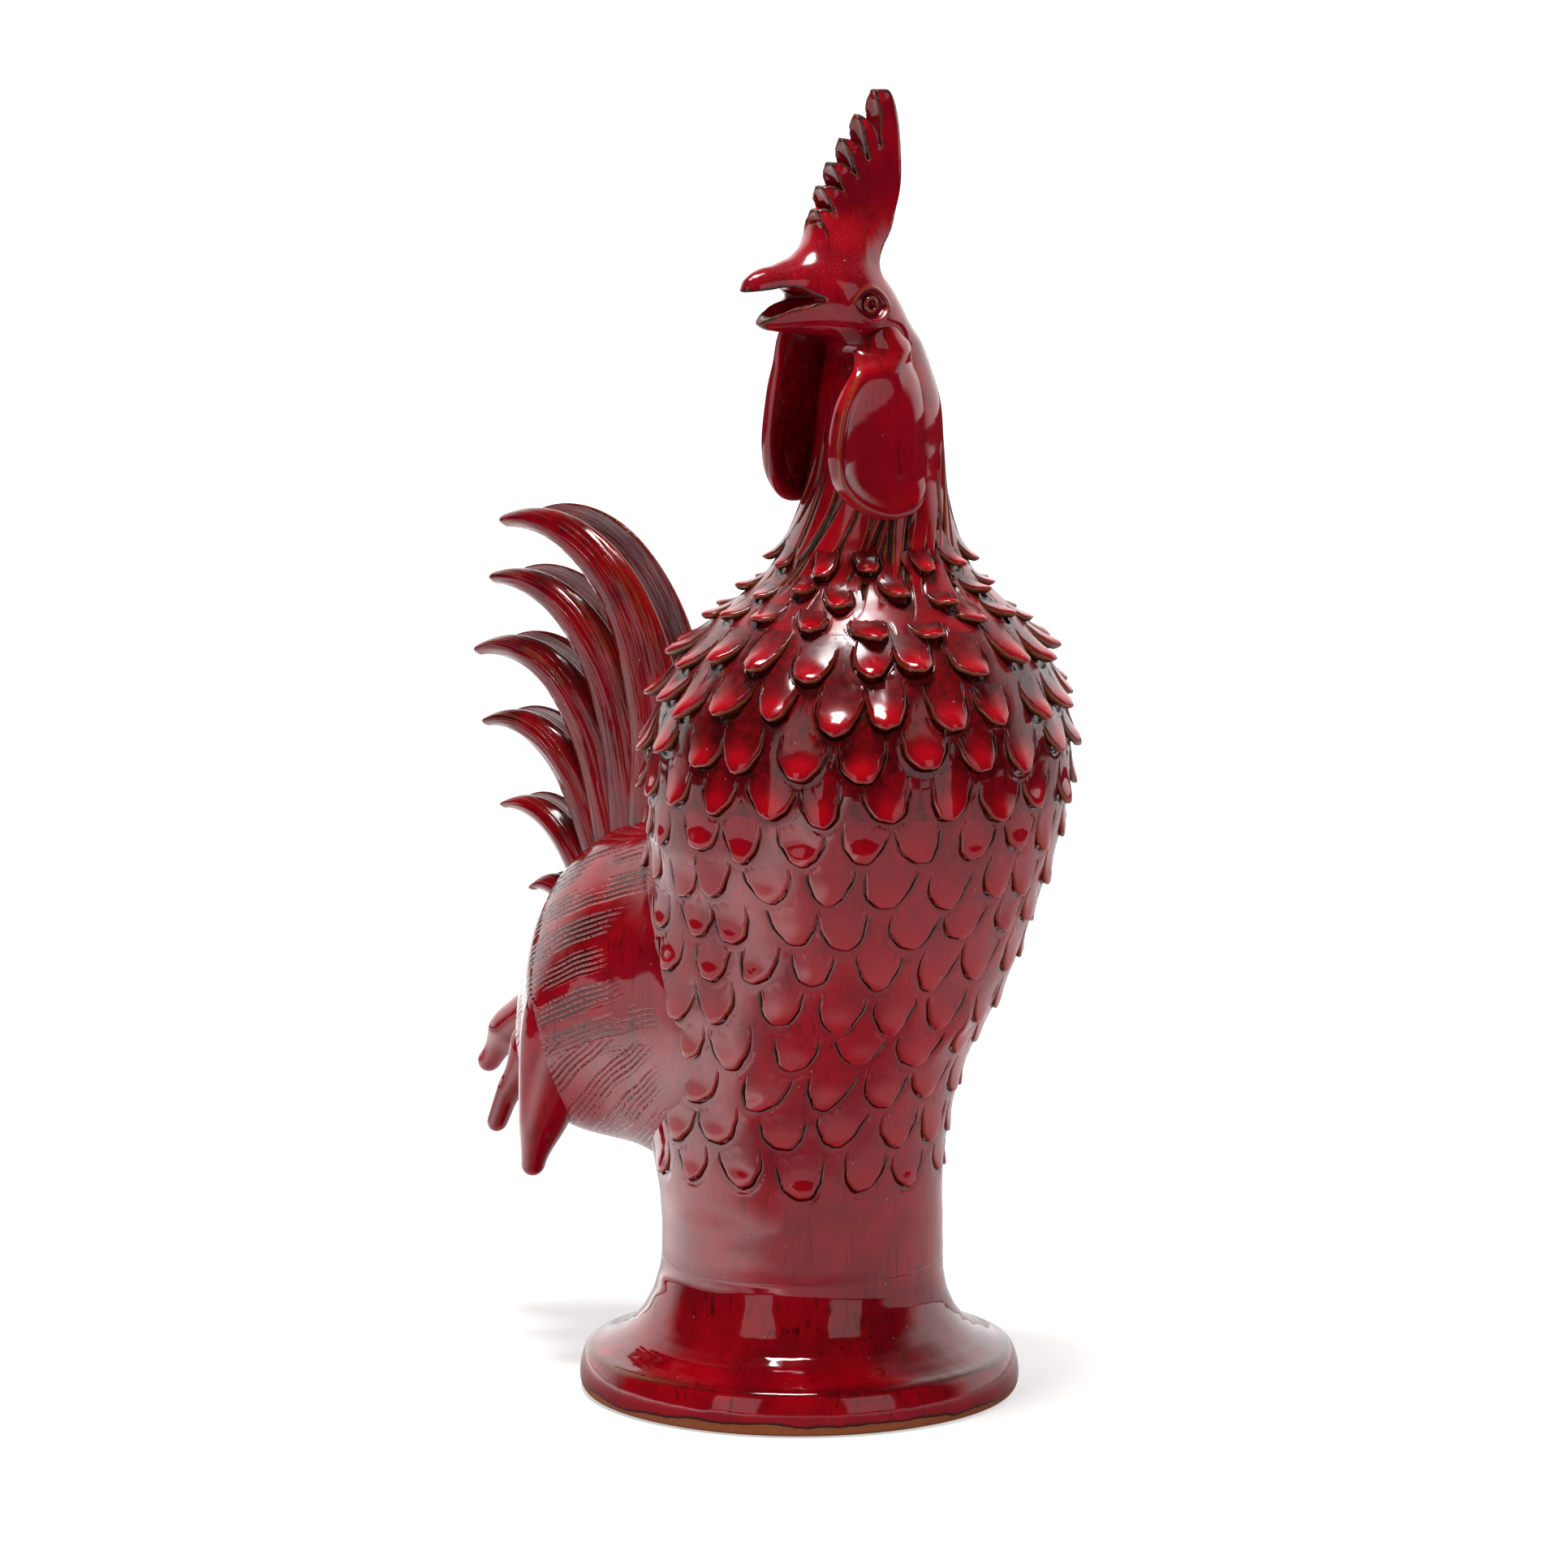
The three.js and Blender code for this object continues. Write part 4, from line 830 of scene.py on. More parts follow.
# The strokes run level and curved above, cross each other below, and leave a smooth place near the body
sideways = np.abs(rump_y) * 0.5 - rump_x
low = step(136, 122, rump_z - 0.12 * (rump_x + 60))
clear = step(16, 28, np.hypot(rump_x + 30, rump_z - 172) + 0.25 * (rump_z - 172))
combed = step(-18, -34, rump_x) * step(206, 194, rump_z) * step(-2, 6, rump_z - 84) * clear
rump_marks = {
    "stroke_a": rump_z - 0.4 * rump_x + 0.002 * (rump_x + 60) ** 2,
    "stroke_b": 0.72 * rump_z + 0.62 * sideways,
    "stroke_c": 0.7 * rump_z - 0.64 * sideways,
    "comb_a": combed * (1 - low),
    "comb_b": combed * step(0.2, 0.6, low),
}


def combed_clay(tree, in_mm):
    """Height, thinness and depth of the glaze on strokes of a serrated rib."""
    wander = add_node(tree, "TexNoise", {"Vector": in_mm, "Scale": 1 / 26, "Detail": 1.0}, give="Fac")
    patchy = add_node(tree, "TexNoise", {"Vector": in_mm, "Scale": 1 / 22, "Detail": 1.0}, give="Fac")
    patchy = add_node(tree, "MapRange", {"Value": patchy, "From Min": 0.34, "From Max": 0.48})
    beads = add_node(tree, "TexNoise", {"Vector": in_mm, "Scale": 1 / 1.6, "Detail": 2.0}, give="Fac")
    beads = add_node(tree, "MapRange", {"Value": beads, "From Min": 0.34, "From Max": 0.54})
    ridges, furrows = [], []
    for title, slip, sharp in (("stroke_a", 1.6, 0.5), ("stroke_b", 2.2, 0.55), ("stroke_c", 2.0, 0.45)):
        place = add_node(tree, "Attribute", give="Fac", attribute_name=title)
        turns = add_node(tree, "Math", {0: wander, 1: slip}, operation="MULTIPLY")
        turns = add_node(tree, "Math", {0: place, 1: 1 / STROKE_SPACING, 2: turns},
                         operation="MULTIPLY_ADD")
        phase = add_node(tree, "Math", {0: turns, 1: 2 * math.pi}, operation="MULTIPLY")
        wave = add_node(tree, "Math", {0: phase}, operation="SINE")
        ridge = add_node(tree, "MapRange", {"Value": wave, "From Min": sharp - 0.4, "From Max": 0.95},
                         interpolation_type="SMOOTHSTEP")
        slow = add_node(tree, "Math", {0: phase, 1: 1 / 6.3}, operation="MULTIPLY")
        band = add_node(tree, "Math", {0: slow}, operation="SINE")
        band = add_node(tree, "MapRange", {"Value": band, "From Min": -0.8, "From Max": -0.3})
        ridges.append(add_node(tree, "Math", {0: ridge, 1: band}, operation="MULTIPLY"))
        furrow = add_node(tree, "MapRange", {"Value": wave, "From Min": -0.1, "From Max": -0.9},
                          interpolation_type="SMOOTHSTEP")
        furrows.append(add_node(tree, "Math", {0: furrow, 1: band}, operation="MULTIPLY"))
    upper = add_node(tree, "Attribute", give="Fac", attribute_name="comb_a")
    upper = add_node(tree, "Math", {0: upper, 1: patchy}, operation="MULTIPLY")
    furrow = add_node(tree, "Math", {0: upper, 1: furrows[0]}, operation="MULTIPLY")
    furrow = add_node(tree, "Math", {0: furrow, 1: 0.62}, operation="MULTIPLY")
    upper = add_node(tree, "Math", {0: upper, 1: ridges[0]}, operation="MULTIPLY")
    lower = add_node(tree, "Attribute", give="Fac", attribute_name="comb_b")
    crossed = add_node(tree, "Math", {0: ridges[1], 1: ridges[2]}, operation="MULTIPLY")
    single = add_node(tree, "Math", {0: ridges[1], 1: 0.8}, operation="MULTIPLY")
    crossed = add_node(tree, "Math", {0: crossed, 1: single}, operation="MAXIMUM")
    lower = add_node(tree, "Math", {0: lower, 1: crossed}, operation="MULTIPLY")
    relief = add_node(tree, "Math", {0: upper, 1: lower}, operation="MAXIMUM")
    relief = add_node(tree, "Math", {0: relief, 1: beads}, operation="MULTIPLY")
    bare = add_node(tree, "MapRange", {"Value": relief, "From Min": 0.5, "From Max": 0.95, "To Max": 0.5})
    return add_node(tree, "Math", {0: relief, 1: 0.0007}, operation="MULTIPLY"), bare, furrow


combed_glaze = red_glaze("red_glaze_on_combed_clay", painted_top_sheen=0.1, grain=combed_clay)
rump_faces = ring_faces(len(rump_points), RUMP_ROUND)
fit(clay_piece("rump_combed", rump_points.reshape(-1, 3), rump_faces, rump_marks), combed_glaze,
    "rump", "rump")


# Saddle feathers
# Five fingers of rolled clay hang from the rump, one at the back and two down each side. Their roots are
# smeared on to the bulge, and their ends are round and slightly swollen.

glazed_fingers = red_glaze("red_glaze_on_rolled_clay", painted_top_sheen=0.1)
for name, t, line, radius in finger_lines:
    x, y, z = line.T
    x, z = x.copy(), z.copy()
    last = FINGER_STATIONS - 1
    tip = slice(FINGER_STATIONS, None)
    heading = np.array([x[last] - x[last - 1], z[last] - z[last - 1]])
    heading /= np.linalg.norm(heading)
    rounding = np.linspace(0, math.pi / 2, TIP_STATIONS + 1)[1:]
    x[tip] += heading[0] * radius[tip] * np.sin(rounding)
    z[tip] += heading[1] * radius[tip] * np.sin(rounding)
    radius[tip] *= np.cos(rounding)
    tangent = np.stack([np.gradient(x), np.gradient(z)], -1)
    tangent[tip] = heading
    tangent /= np.linalg.norm(tangent, axis=1, keepdims=True)
    turn = evenly_round(FINGER_ROUND)
    lumps = 1 + 0.015 * np.sin(3 * turn[None, :] + 2.7 * t[:, None])
    points = np.stack([
        x[:, None] - tangent[:, 1:2] * FINGER_FLATNESS * radius[:, None] * np.sin(turn) * lumps,
        y[:, None] + radius[:, None] * np.cos(turn) * lumps,
        z[:, None] + tangent[:, 0:1] * FINGER_FLATNESS * radius[:, None] * np.sin(turn) * lumps], -1)
    middles = np.stack([x, y, z], -1)[:, None]
    away = points - middles
    away /= np.maximum(0.5, np.linalg.norm(away, axis=-1, keepdims=True))
    swell = FINGER_FLOW * fill_of(np.maximum(off_rump(points), 0), FINGER_FILL) * step(3.0, 2.0, t)[:, None]
    points += away * swell[..., None]
    fit(clay_piece(name + "_clay", points.reshape(-1, 3), ring_faces(len(t), FINGER_ROUND)), glazed_fingers,
        "saddle_feathers", name)


# Tail
# The tail is two fans of six pulled feathers each. Every feather is a strap of clay drawn out between wet
# fingers, hollow on its inner side and ridged along its length. Its front edge lies over the one behind it.

FEATHER_THICKNESS = 6.5
FEATHER_TAPER = 0.78  # share of its width that it loses to its tip
FAN_SPACING = 11  # from the middle of the tail to the first feather of a fan
FAN_STEP = 1.1  # how much nearer the middle each next feather stands
FAN_TILT = math.radians(11)
FEATHER_ROOT = 11  # length hidden in the rump
FEATHER_WALK = 260  # fine steps along a feather, of which a few become rings of points
FEATHER_STATIONS = 70
FEATHER_TIP_STATIONS = 7
FEATHER_ROUND = 40
# Root as shares of the rump's length and half height, then length, lean of root and tip, and width
feathers = ((0.427, 0.968, 150, -2, 103, 24), (0.536, 0.92, 124, 5, 99, 22),
            (0.632, 0.857, 104, 12, 111, 20), (0.705, 0.746, 77, 22, 109, 17),
            (0.777, 0.556, 49, 34, 107, 14), (0.818, 0.349, 24, 50, 120, 12))
# Ridges that wet fingers leave: width and length in millimetres, seed, where one begins and ends in the
# pattern, and height in metres
PULLED_RIDGES = ((1.9, 60, 3, 0.35, 0.65, 0.0001), (6.5, 90, 8, 0.3, 0.7, 0.00028),
                 (0.8, 55, 5, 0.54, 0.62, 0.00007))


def pulled_clay(tree, in_mm):
    """Height, thinness and depth of the glaze on the long ridges that wet fingers leave."""
    blade = add_node(tree, "UVMap", give="UV", uv_map="blade")
    patchy = add_node(tree, "TexNoise", {"Vector": in_mm, "Scale": 1 / 13, "Detail": 2.0}, give="Fac")
    patchy = add_node(tree, "MapRange", {"Value": patchy, "From Min": 0.38, "From Max": 0.54})
    height = 0.0
    for width, length, seed, low, high, tall in PULLED_RIDGES:
        mapped = add_node(tree, "Mapping", {"Vector": blade, "Location": (seed, seed, 0),
                                            "Scale": (1 / width, 1 / length, 1)})
        ridge = add_node(tree, "TexNoise", {"Vector": mapped, "Scale": 1.0, "Detail": 2.0}, give="Fac",
                         noise_dimensions="2D")
        ridge = add_node(tree, "MapRange", {"Value": ridge, "From Min": low, "From Max": high},
                         interpolation_type="SMOOTHSTEP")
        height = add_node(tree, "Math", {0: ridge, 1: tall, 2: height}, operation="MULTIPLY_ADD")
    thinness = add_node(tree, "Math", {0: ridge, 1: patchy}, operation="MULTIPLY")
    thinness = add_node(tree, "Math", {0: thinness, 1: 0.36}, operation="MULTIPLY")
    return height, thinness, 0.0


pulled_glaze = red_glaze("red_glaze_on_pulled_clay", thin="#8a020c", thick="#4a0208", painted_top_sheen=0.05,
                         grain=pulled_clay)
for side_name, side in (("right", -1), ("left", 1)):
    for index, (back, up, length, root_lean, tip_lean, width) in enumerate(feathers):
        whole = length + FEATHER_ROOT
        walk = np.linspace(0, whole, FEATHER_WALK)
        u = np.maximum(0, (walk - FEATHER_ROOT) / length)
        lean = np.radians(root_lean + (tip_lean - root_lean) * u**1.8)
        stride = walk[1]
        spine_x = np.cumsum(-np.sin(lean) * stride) + RUMP_FRONT + (-RUMP_REACH - RUMP_FRONT) * back
        spine_x += FEATHER_ROOT * math.sin(math.radians(root_lean))
        spine_z = np.cumsum(np.cos(lean) * stride) + RUMP_MIDDLE + RUMP_HALF_HEIGHT * up
        spine_z -= FEATHER_ROOT * math.cos(math.radians(root_lean))
        keep = np.linspace(0, FEATHER_WALK - 1, FEATHER_STATIONS).astype(int)
        keep = np.concatenate([keep, np.full(FEATHER_TIP_STATIONS, FEATHER_WALK - 1)])
        rounding = np.linspace(0, math.pi / 2, FEATHER_TIP_STATIONS + 1)[1:]
        rounding = np.concatenate([np.zeros(FEATHER_STATIONS), rounding])
        lean, u = lean[keep], u[keep]
        shrink = np.cos(rounding)
        breadth = width * (1 - FEATHER_TAPER * u**2.4) * shrink
        thick = FEATHER_THICKNESS * (1 - 0.3 * u**2) * np.maximum(shrink, 0.02)
        reach_on = 2.8 * np.sin(rounding)
        middle = np.stack([spine_x[keep] - np.sin(lean) * reach_on,
                           np.full(len(u), side * (FAN_SPACING - FAN_STEP * index)),
                           spine_z[keep] + np.cos(lean) * reach_on], -1)
        rear = np.stack([-np.cos(lean), np.zeros(len(u)), -np.sin(lean)], -1)
        outward = np.array([0, side, 0])
        across_way = rear * math.cos(FAN_TILT) + outward * math.sin(FAN_TILT)
        out_way = outward * math.cos(FAN_TILT) - rear * math.sin(FAN_TILT)
        turn = evenly_round(FEATHER_ROUND)
        a = 0.5 * np.cos(turn)
        crown = np.sign(np.sin(turn)) * np.abs(np.sin(turn)) ** 0.8
        hollow = 0.1 - 0.42 * (2 * a) ** 2
        b = np.where(crown > 0, hollow + 0.4 * crown, hollow * 0.7 - 0.02 + 0.34 * crown)
        waver = 0.05 * np.sin(walk[keep] * 0.11 + index)[:, None] * np.sin(3 * turn + index)[None, :]
        points = (middle[:, None] + across_way[:, None] * (a[None, :, None] * breadth[:, None, None])
                  + out_way[:, None] * ((b[None, :] + waver) * thick[:, None])[..., None])
        blade_place = a[None, :] * breadth[:, None] + 40 * index + 300 * side  # each blade its own clouds
        uv = np.stack([blade_place, walk[keep][:, None] + 0 * a], -1)
        rim = np.abs(2 * a)[None, :] ** 10 * (0.3 + 0.4 * u[:, None])
        root = step(36, 4, walk[keep])[:, None]
        marks = {"worn": rim * 0.6, "pool_and_shade": 0.4 * root * np.abs(2 * a)[None, :] ** 3 + 0 * rim}
        node = f"tail_feather_{side_name}_{index + 1}"
        faces = ring_faces(len(u), FEATHER_ROUND)
        fit(clay_piece(node + "_clay", points.reshape(-1, 3), faces, marks, uv.reshape(-1, 2)), pulled_glaze,
            "tail_feathers", node)


# Head, comb and beak
# Skull, comb and the two halves of the beak are lumps of clay luted together and smoothed over with a wet
# finger, so they are blended here in one skin and then parted at their joints. The comb's front edge is cut
# into teeth like flames, and each is gouged hollow with a loop tool.

HEAD_TURN = math.radians(-105)
HEAD_MIDDLE = (THROAT_LEAN - 2, -10, THROAT_HEIGHT + 25)
head_place = Matrix.Translation(HEAD_MIDDLE) @ Matrix.Rotation(HEAD_TURN, 4, "Z")
head_matrix = np.array(head_place)
COMB_TOP = 71.9
COMB_DROP = 42  # from the first tooth's tip to the last one's
COMB_REACH = 26
COMB_BACK = 17
COMB_THICKNESS = 11
TOOTH_COUNT = 6
SKULL_TOP = 41
VOXEL = 0.55
# The joints of head, comb and beak, where the one skin is parted
COMB_ROOT = 22
BEAK_ROOT = 24
THROAT_EDGE = -25.6
THROAT_BLEND = 17  # how far up the throat follows the cone of the neck


def to_row(points):
    """Points of the head's own frame in the row's frame."""
    return points @ head_matrix[:3, :3].T + head_matrix[:3, 3]


def from_row(points):
    """Points of the row's frame in the head's own frame."""
    return (points - head_matrix[:3, 3]) @ head_matrix[:3, :3]


def joined(first, second, fillet):
    """Distance from two solids smeared together over a fillet."""
    near = np.clip(0.5 + 0.5 * (second - first) / fillet, 0, 1)
    return second + (first - second) * near - fillet * near * (1 - near)


def carved(solid, tool, edge):
    """Distance from a solid with a tool's form taken out, its new edges rounded."""
    return -joined(-solid, tool, edge)


def arc(start, control, end, count=9):
    """Points of a bent line, without its first."""
    t = np.linspace(0, 1, count)[1:, None]
    start, control, end = (np.array(p, float) for p in (start, control, end))
    return (1 - t) ** 2 * start + 2 * t * (1 - t) * control + t**2 * end


def off_line(x, z, line, closed=False):
    """Distance in a plane from a run of points, and the place of the nearest point along it from 0 to 1."""
    line = np.asarray(line, float)
    ends = np.roll(line, -1, 0) if closed else line[1:]
    starts = line if closed else line[:-1]
    best = np.full(x.shape, np.inf)
    along = np.zeros(x.shape)
    for k, (a, b) in enumerate(zip(starts, ends)):
        d = b - a
        t = np.clip(((x - a[0]) * d[0] + (z - a[1]) * d[1]) / max(1e-9, d @ d), 0, 1)
        gap = np.hypot(x - a[0] - t * d[0], z - a[1] - t * d[1])
        along = np.where(gap < best, (k + t) / len(starts), along)
        best = np.minimum(best, gap)
    return best, along


def inside(x, z, line):
    """True where a point of the plane lies in a closed outline."""
    crossings = np.zeros(x.shape, int)
    for a, b in zip(line, np.roll(line, -1, 0)):
        spans = (a[1] > z) != (b[1] > z)
        cross_x = a[0] + (z - a[1]) * (b[0] - a[0]) / (b[1] - a[1] if b[1] != a[1] else 1e-9)
        crossings += spans & (x < cross_x)
    return crossings % 2 == 1


# Level sections of the skull from the throat up into the root of the comb: height, back, front and half width
skull_line = np.array(((-27, -28.5, 8.9, 18.7), (-20, -25, 12, 19.2), (-15, -21.3, 18, 19.6),
                       (-9, -17.6, 23, 19.6), (-3, -14.2, 26, 19.3), (3, -10.2, 27, 18), (8, -6.6, 26, 15.8),
                       (13, -5.6, 24, 12.6), (18, -7.2, 21, 10), (24, -10.4, 16, 7.4), (31, -12.5, 10, 5.6),
                       (42, -11, 3, 2.5)))

# Level by level along the beak: ahead, ridge, mouth and half width
upper_line = np.array(((8, 14, -4, 13), (20, 15, -2, 12.5), (28, 13.6, 2.2, 10), (36, 11.3, 3.6, 7.2),
                       (43, 9.9, 1.8, 5.6), (47, 7.9, -0.4, 4.4), (49.4, 5.4, -0.9, 2.9),
                       (50.4, 2.6, -0.6, 1.2)))
lower_line = np.array(((8, -4, -18, 13), (20, -3, -15.6, 12), (29, -2.8, -14.4, 9.6), (35, -4.2, -13.6, 7.2),
                       (40.5, -7.0, -12.8, 4.8), (44.6, -9.8, -12, 2)))


def tooth_tip(share):
    """Tip of a tooth, from the top one at 0 to the lowest at 1."""
    return np.array((-7 + COMB_REACH * (1 - (1 - share) ** 1.5), COMB_TOP - COMB_DROP * share))


def tooth_notch(share):
    """Bottom of the notch under a tooth."""
    back = COMB_REACH * 0.16 * math.sin(math.pi * 0.85 * share)
    return tooth_tip(share) - (back, COMB_DROP * (0.47 + (0.22 - 0.47) * share**0.7))


comb_outline = [np.array([tooth_tip(0)])]
tooth_fronts = []
for share in np.linspace(0, 1, TOOTH_COUNT):
    tip, notch = tooth_tip(share), tooth_notch(share)
    if share:
        comb_outline.append(arc(last_notch, (last_notch + tip) / 2 + (-1.2, 3.4), tip))
    front = arc(tip, tip + (1.6, 0.3 * (notch[1] - tip[1])), notch)
    comb_outline.append(front)
    tooth_fronts.append(np.concatenate([[tip], front]))
    last_notch = notch
comb_outline.append(np.array([(14, 6), (4, 4), (1, 10), (-5.5, 18)]))
comb_outline.append(arc((-5.5, 18), (-COMB_BACK + 0.5, 27), (-COMB_BACK, COMB_TOP - 30)))
comb_outline.append(arc((-COMB_BACK, COMB_TOP - 30), (-COMB_BACK - 0.5, COMB_TOP - 3), (-11.5, COMB_TOP)))
comb_outline.append(arc((-11.5, COMB_TOP), (-9.5, COMB_TOP), tooth_tip(0))[:-1])
comb_outline = np.concatenate(comb_outline)

# The box that holds them, in the head's own frame
ahead = np.arange(-34, 54, VOXEL)
aside = np.arange(-24, 24.1, VOXEL)
above = np.arange(-27.5, 76, VOXEL)
x, y, z = np.meshgrid(ahead, aside, above, indexing="ij", sparse=True)
back, front, half = read_table(skull_line, above)
shifted = -1.9 * step(-17, -25, above)
level = np.sqrt(((x - (back + front) / 2) / ((front - back) / 2)) ** 2 + ((y - shifted) / half) ** 2)
clay = np.maximum((level - 1) * half, z - SKULL_TOP)


def half_beak(line, over):
    """Distance from one half of the beak: an arch over, or a hull under, its mouth."""
    top, bottom, wide = (values[:, None, None] for values in read_table(line, ahead))
    flat, crest = (bottom, top) if over else (top, bottom)
    rise = (z - flat) / (crest - flat)
    level = (np.abs(y / wide) ** 2.2 + np.abs(np.maximum(rise, 0)) ** 1.9) ** (1 / 2.1)
    hull = (level - 1) * np.minimum(wide, np.abs(crest - flat)) * 0.9
    beyond = np.maximum(x - line[-1, 0], line[0, 0] - x)
    return np.maximum(-joined(-hull, (z - flat) * (1 if over else -1), 0.9), beyond)


clay = joined(clay, half_beak(upper_line, True), 5.5)
clay = joined(clay, half_beak(lower_line, False), 3.5)
# The mouth is opened with a thumb, and the lower half is hollow like a trough
mouth_gap, _ = off_line(x, z, [(22.5, -1.2), (28, -0.4), (36, 0.2), (52, -2.6)])
opening = np.interp(ahead, [22, 28, 36, 43, 52], [0.3, 2.2, 3.8, 5.0, 6.0])[:, None, None]
trough = (np.sqrt(((x - 33) / 16) ** 2 + (y / 7.4) ** 2 + ((z - 0.5) / 9) ** 2) - 1) * 7.4
clay = carved(clay, np.maximum(mouth_gap - opening * 0.75, 21.5 - x), 0.7)
clay = carved(clay, np.maximum(trough, z - 1.5), 0.7)

# The comb is a slab that thins to its top and to the tip of each tooth
edge_off, _ = off_line(x[:, 0], z[:, 0], comb_outline, closed=True)
in_comb = inside(x[:, 0] + 0 * z[:, 0], z[:, 0] + 0 * x[:, 0], comb_outline)
deep = np.where(in_comb, edge_off, -edge_off)[:, None]
tips = np.stack([tooth_tip(share) for share in np.linspace(0, 1, TOOTH_COUNT)])
tip_off = np.min([np.hypot(x[:, 0] - tip[0], z[:, 0] - tip[1]) for tip in tips], 0)[:, None]
slab_half = COMB_THICKNESS / 2 * np.interp(above, [8, 30, COMB_TOP], [1.5, 1.05, 0.78])
slab_half = slab_half * (1 - 0.5 * np.exp(-((tip_off / 3.5) ** 2)))
slab = -joined(deep, slab_half - np.abs(y), 3.2 - 2.6 * step(-15, -9, x))
ridges = np.full(slab.shape, 9.0)
for line in tooth_fronts:
    cut_in = 0.35 + 1.75 * step(0.05, 0.6, np.linspace(0, 1, len(line) - 1))
    gap, along = off_line(x[:, 0], z[:, 0], line[1:] + np.stack([3.5 - cut_in, 0 * cut_in], -1))
    wide = 5.1 * np.sin(np.pi / 2 * np.clip(0.3 + 2 * along, 0, 1))[:, None]
    scoop = (np.sqrt((gap[:, None] / 3.5) ** 2 + (y / wide) ** 2) - 1) * 3.5
    front_at = np.interp(above, line[::-1, 1], line[::-1, 0])
    scoop = np.maximum(scoop, x - front_at - 0.6)
    ridges = np.minimum(ridges, np.hypot(scoop, slab))
    slab = carved(slab, scoop, 0.25)
clay = joined(clay, slab, 7 * step(36, 16, z) + 0.4)

grid = openvdb.FloatGrid()
grid.copyFromArray(clay.astype(np.float32))
cells, _, head_faces = grid.convertToPolygons(isovalue=0.0)
head_points = cells.astype(float) * VOXEL + (ahead[0], aside[0], above[0])
low = np.floor(cells).astype(int)
ridge_off = 0
for corner in np.ndindex(2, 2, 2):
    share = np.abs(1 - np.array(corner) - (cells - low)).prod(1)
    ridge_off = ridge_off + share * ridges[tuple((low + corner).T)]
head_faces = head_faces[:, ::-1].astype(int)
edges = np.concatenate([head_faces[:, [i, (i + 1) % 4]] for i in range(4)])
neighbours = np.bincount(edges[:, 0], minlength=len(head_points))


def averaged(values):
    """Each point's value averaged over its neighbours."""
    total = np.stack([np.bincount(edges[:, 0], column[edges[:, 1]], len(head_points))
                      for column in np.atleast_2d(values.T)])
    return (total / neighbours).T if values.ndim > 1 else total[0] / neighbours


def off_thread(points, line, reach):
    """Distance from a thread through points in space, worked out only nearby."""
    thread = np.stack(through(line, np.linspace(0, len(line) - 1, 90)), -1)
    distance = np.full(len(points), 99.0)
    near = ((points > thread.min(0) - reach) & (points < thread.max(0) + reach)).all(1)
    distance[near] = np.linalg.norm(points[near, None] - thread[None], axis=2).min(1)
    return distance


def normals_of(points, faces):
    """Normals of the points of a mesh of quads."""
    across = np.cross(points[faces[:, 2]] - points[faces[:, 0]], points[faces[:, 3]] - points[faces[:, 1]])
    total = np.stack([sum(np.bincount(corner, column, len(points)) for corner in faces.T)
                      for column in across.T], -1)
    return total / np.maximum(1e-12, np.linalg.norm(total, axis=1, keepdims=True))


def sharpness(points):
    """How much each point stands proud of its neighbours."""
    proud = np.einsum("ij,ij->i", points - averaged(points), normals_of(points, head_faces))
    return averaged(proud) / VOXEL


sharp = sharpness(head_points)
for _ in range(2):
    head_points = head_points + 0.5 * (averaged(head_points) - head_points)

# Eye sockets are pressed in, almond shaped, and a thin roll of clay runs round them
EYE_AHEAD = 6.6
EYE_DROP = 3
SOCKET_LENGTH = 14.4
SOCKET_HEIGHT = 11.6
socket_thread = np.zeros(len(head_points))
for eye_side in (1, -1):
    dx = (head_points[:, 0] - EYE_AHEAD) / (SOCKET_LENGTH / 2)
    dz = (head_points[:, 2] + EYE_DROP - 0.09 * (head_points[:, 0] - EYE_AHEAD)) / (SOCKET_HEIGHT / 2)
    level = np.abs(dx) ** 1.8 + np.abs(dz) ** 1.35
    near = head_points[:, 1] * eye_side > 8
    roll = near * np.exp(-((level - 1.12) / 0.16) ** 2)
    head_points[:, 1] += eye_side * (0.55 * roll - near * 2.0 * step(1.02, 0.7, level))
    socket_thread = np.maximum(socket_thread, roll * step(-1.1, -0.1, dz - 0.5 * dx))

# A rolled thread of clay along each edge of the lower beak
beak_thread = np.full(len(head_points), 99.0)
for thread_side in (1, -1):
    rim = [(a, thread_side * (wide * 0.97 - 0.2), top - 0.4) for a, top, _, wide in lower_line[1:].tolist()]
    rim[0] = (22, thread_side * 13.2, -4.6)
    beak_thread = np.minimum(beak_thread, off_thread(head_points, rim, 3))

# The throat goes over into the cone of the neck
row_points = to_row(head_points)
below_throat = np.array(line_at(np.minimum(row_points[:, 2], THROAT_HEIGHT)))
widening = (np.array(line_at(THROAT_HEIGHT)) - np.array(line_at(THROAT_HEIGHT - 6))) / 6
radius, lean = below_throat + widening[:, None] * np.maximum(0, row_points[:, 2] - THROAT_HEIGHT)
off = row_points[:, :2] - np.stack([lean, 0 * lean], -1)
distance = np.linalg.norm(off, axis=1)
fitted = distance + (radius - distance) * step(THROAT_HEIGHT + THROAT_BLEND, THROAT_HEIGHT, row_points[:, 2])
row_points[:, :2] = np.stack([lean, 0 * lean], -1) + off * (fitted / distance)[:, None]
normals = normals_of(row_points, head_faces)
row_points = row_points + normals * (0.45 * np.exp(-((beak_thread / 0.8) ** 2)))[:, None]
edge_worn = np.maximum(np.exp(-((ridge_off / 0.4) ** 2)), 0.9 * step(0.045, 0.075, sharp))
edge_worn = edge_worn * step(14, 20, head_points[:, 2]) * step(-13, -9, head_points[:, 0])
head_marks = {"worn": np.clip(edge_worn + 0.75 * socket_thread
                              + 0.8 * np.exp(-((beak_thread / 0.75) ** 2)), 0, 1),
              "pool_and_shade": 0.8 * step(0.03, 0.09, -sharp)}
centres = head_points[head_faces].mean(1)
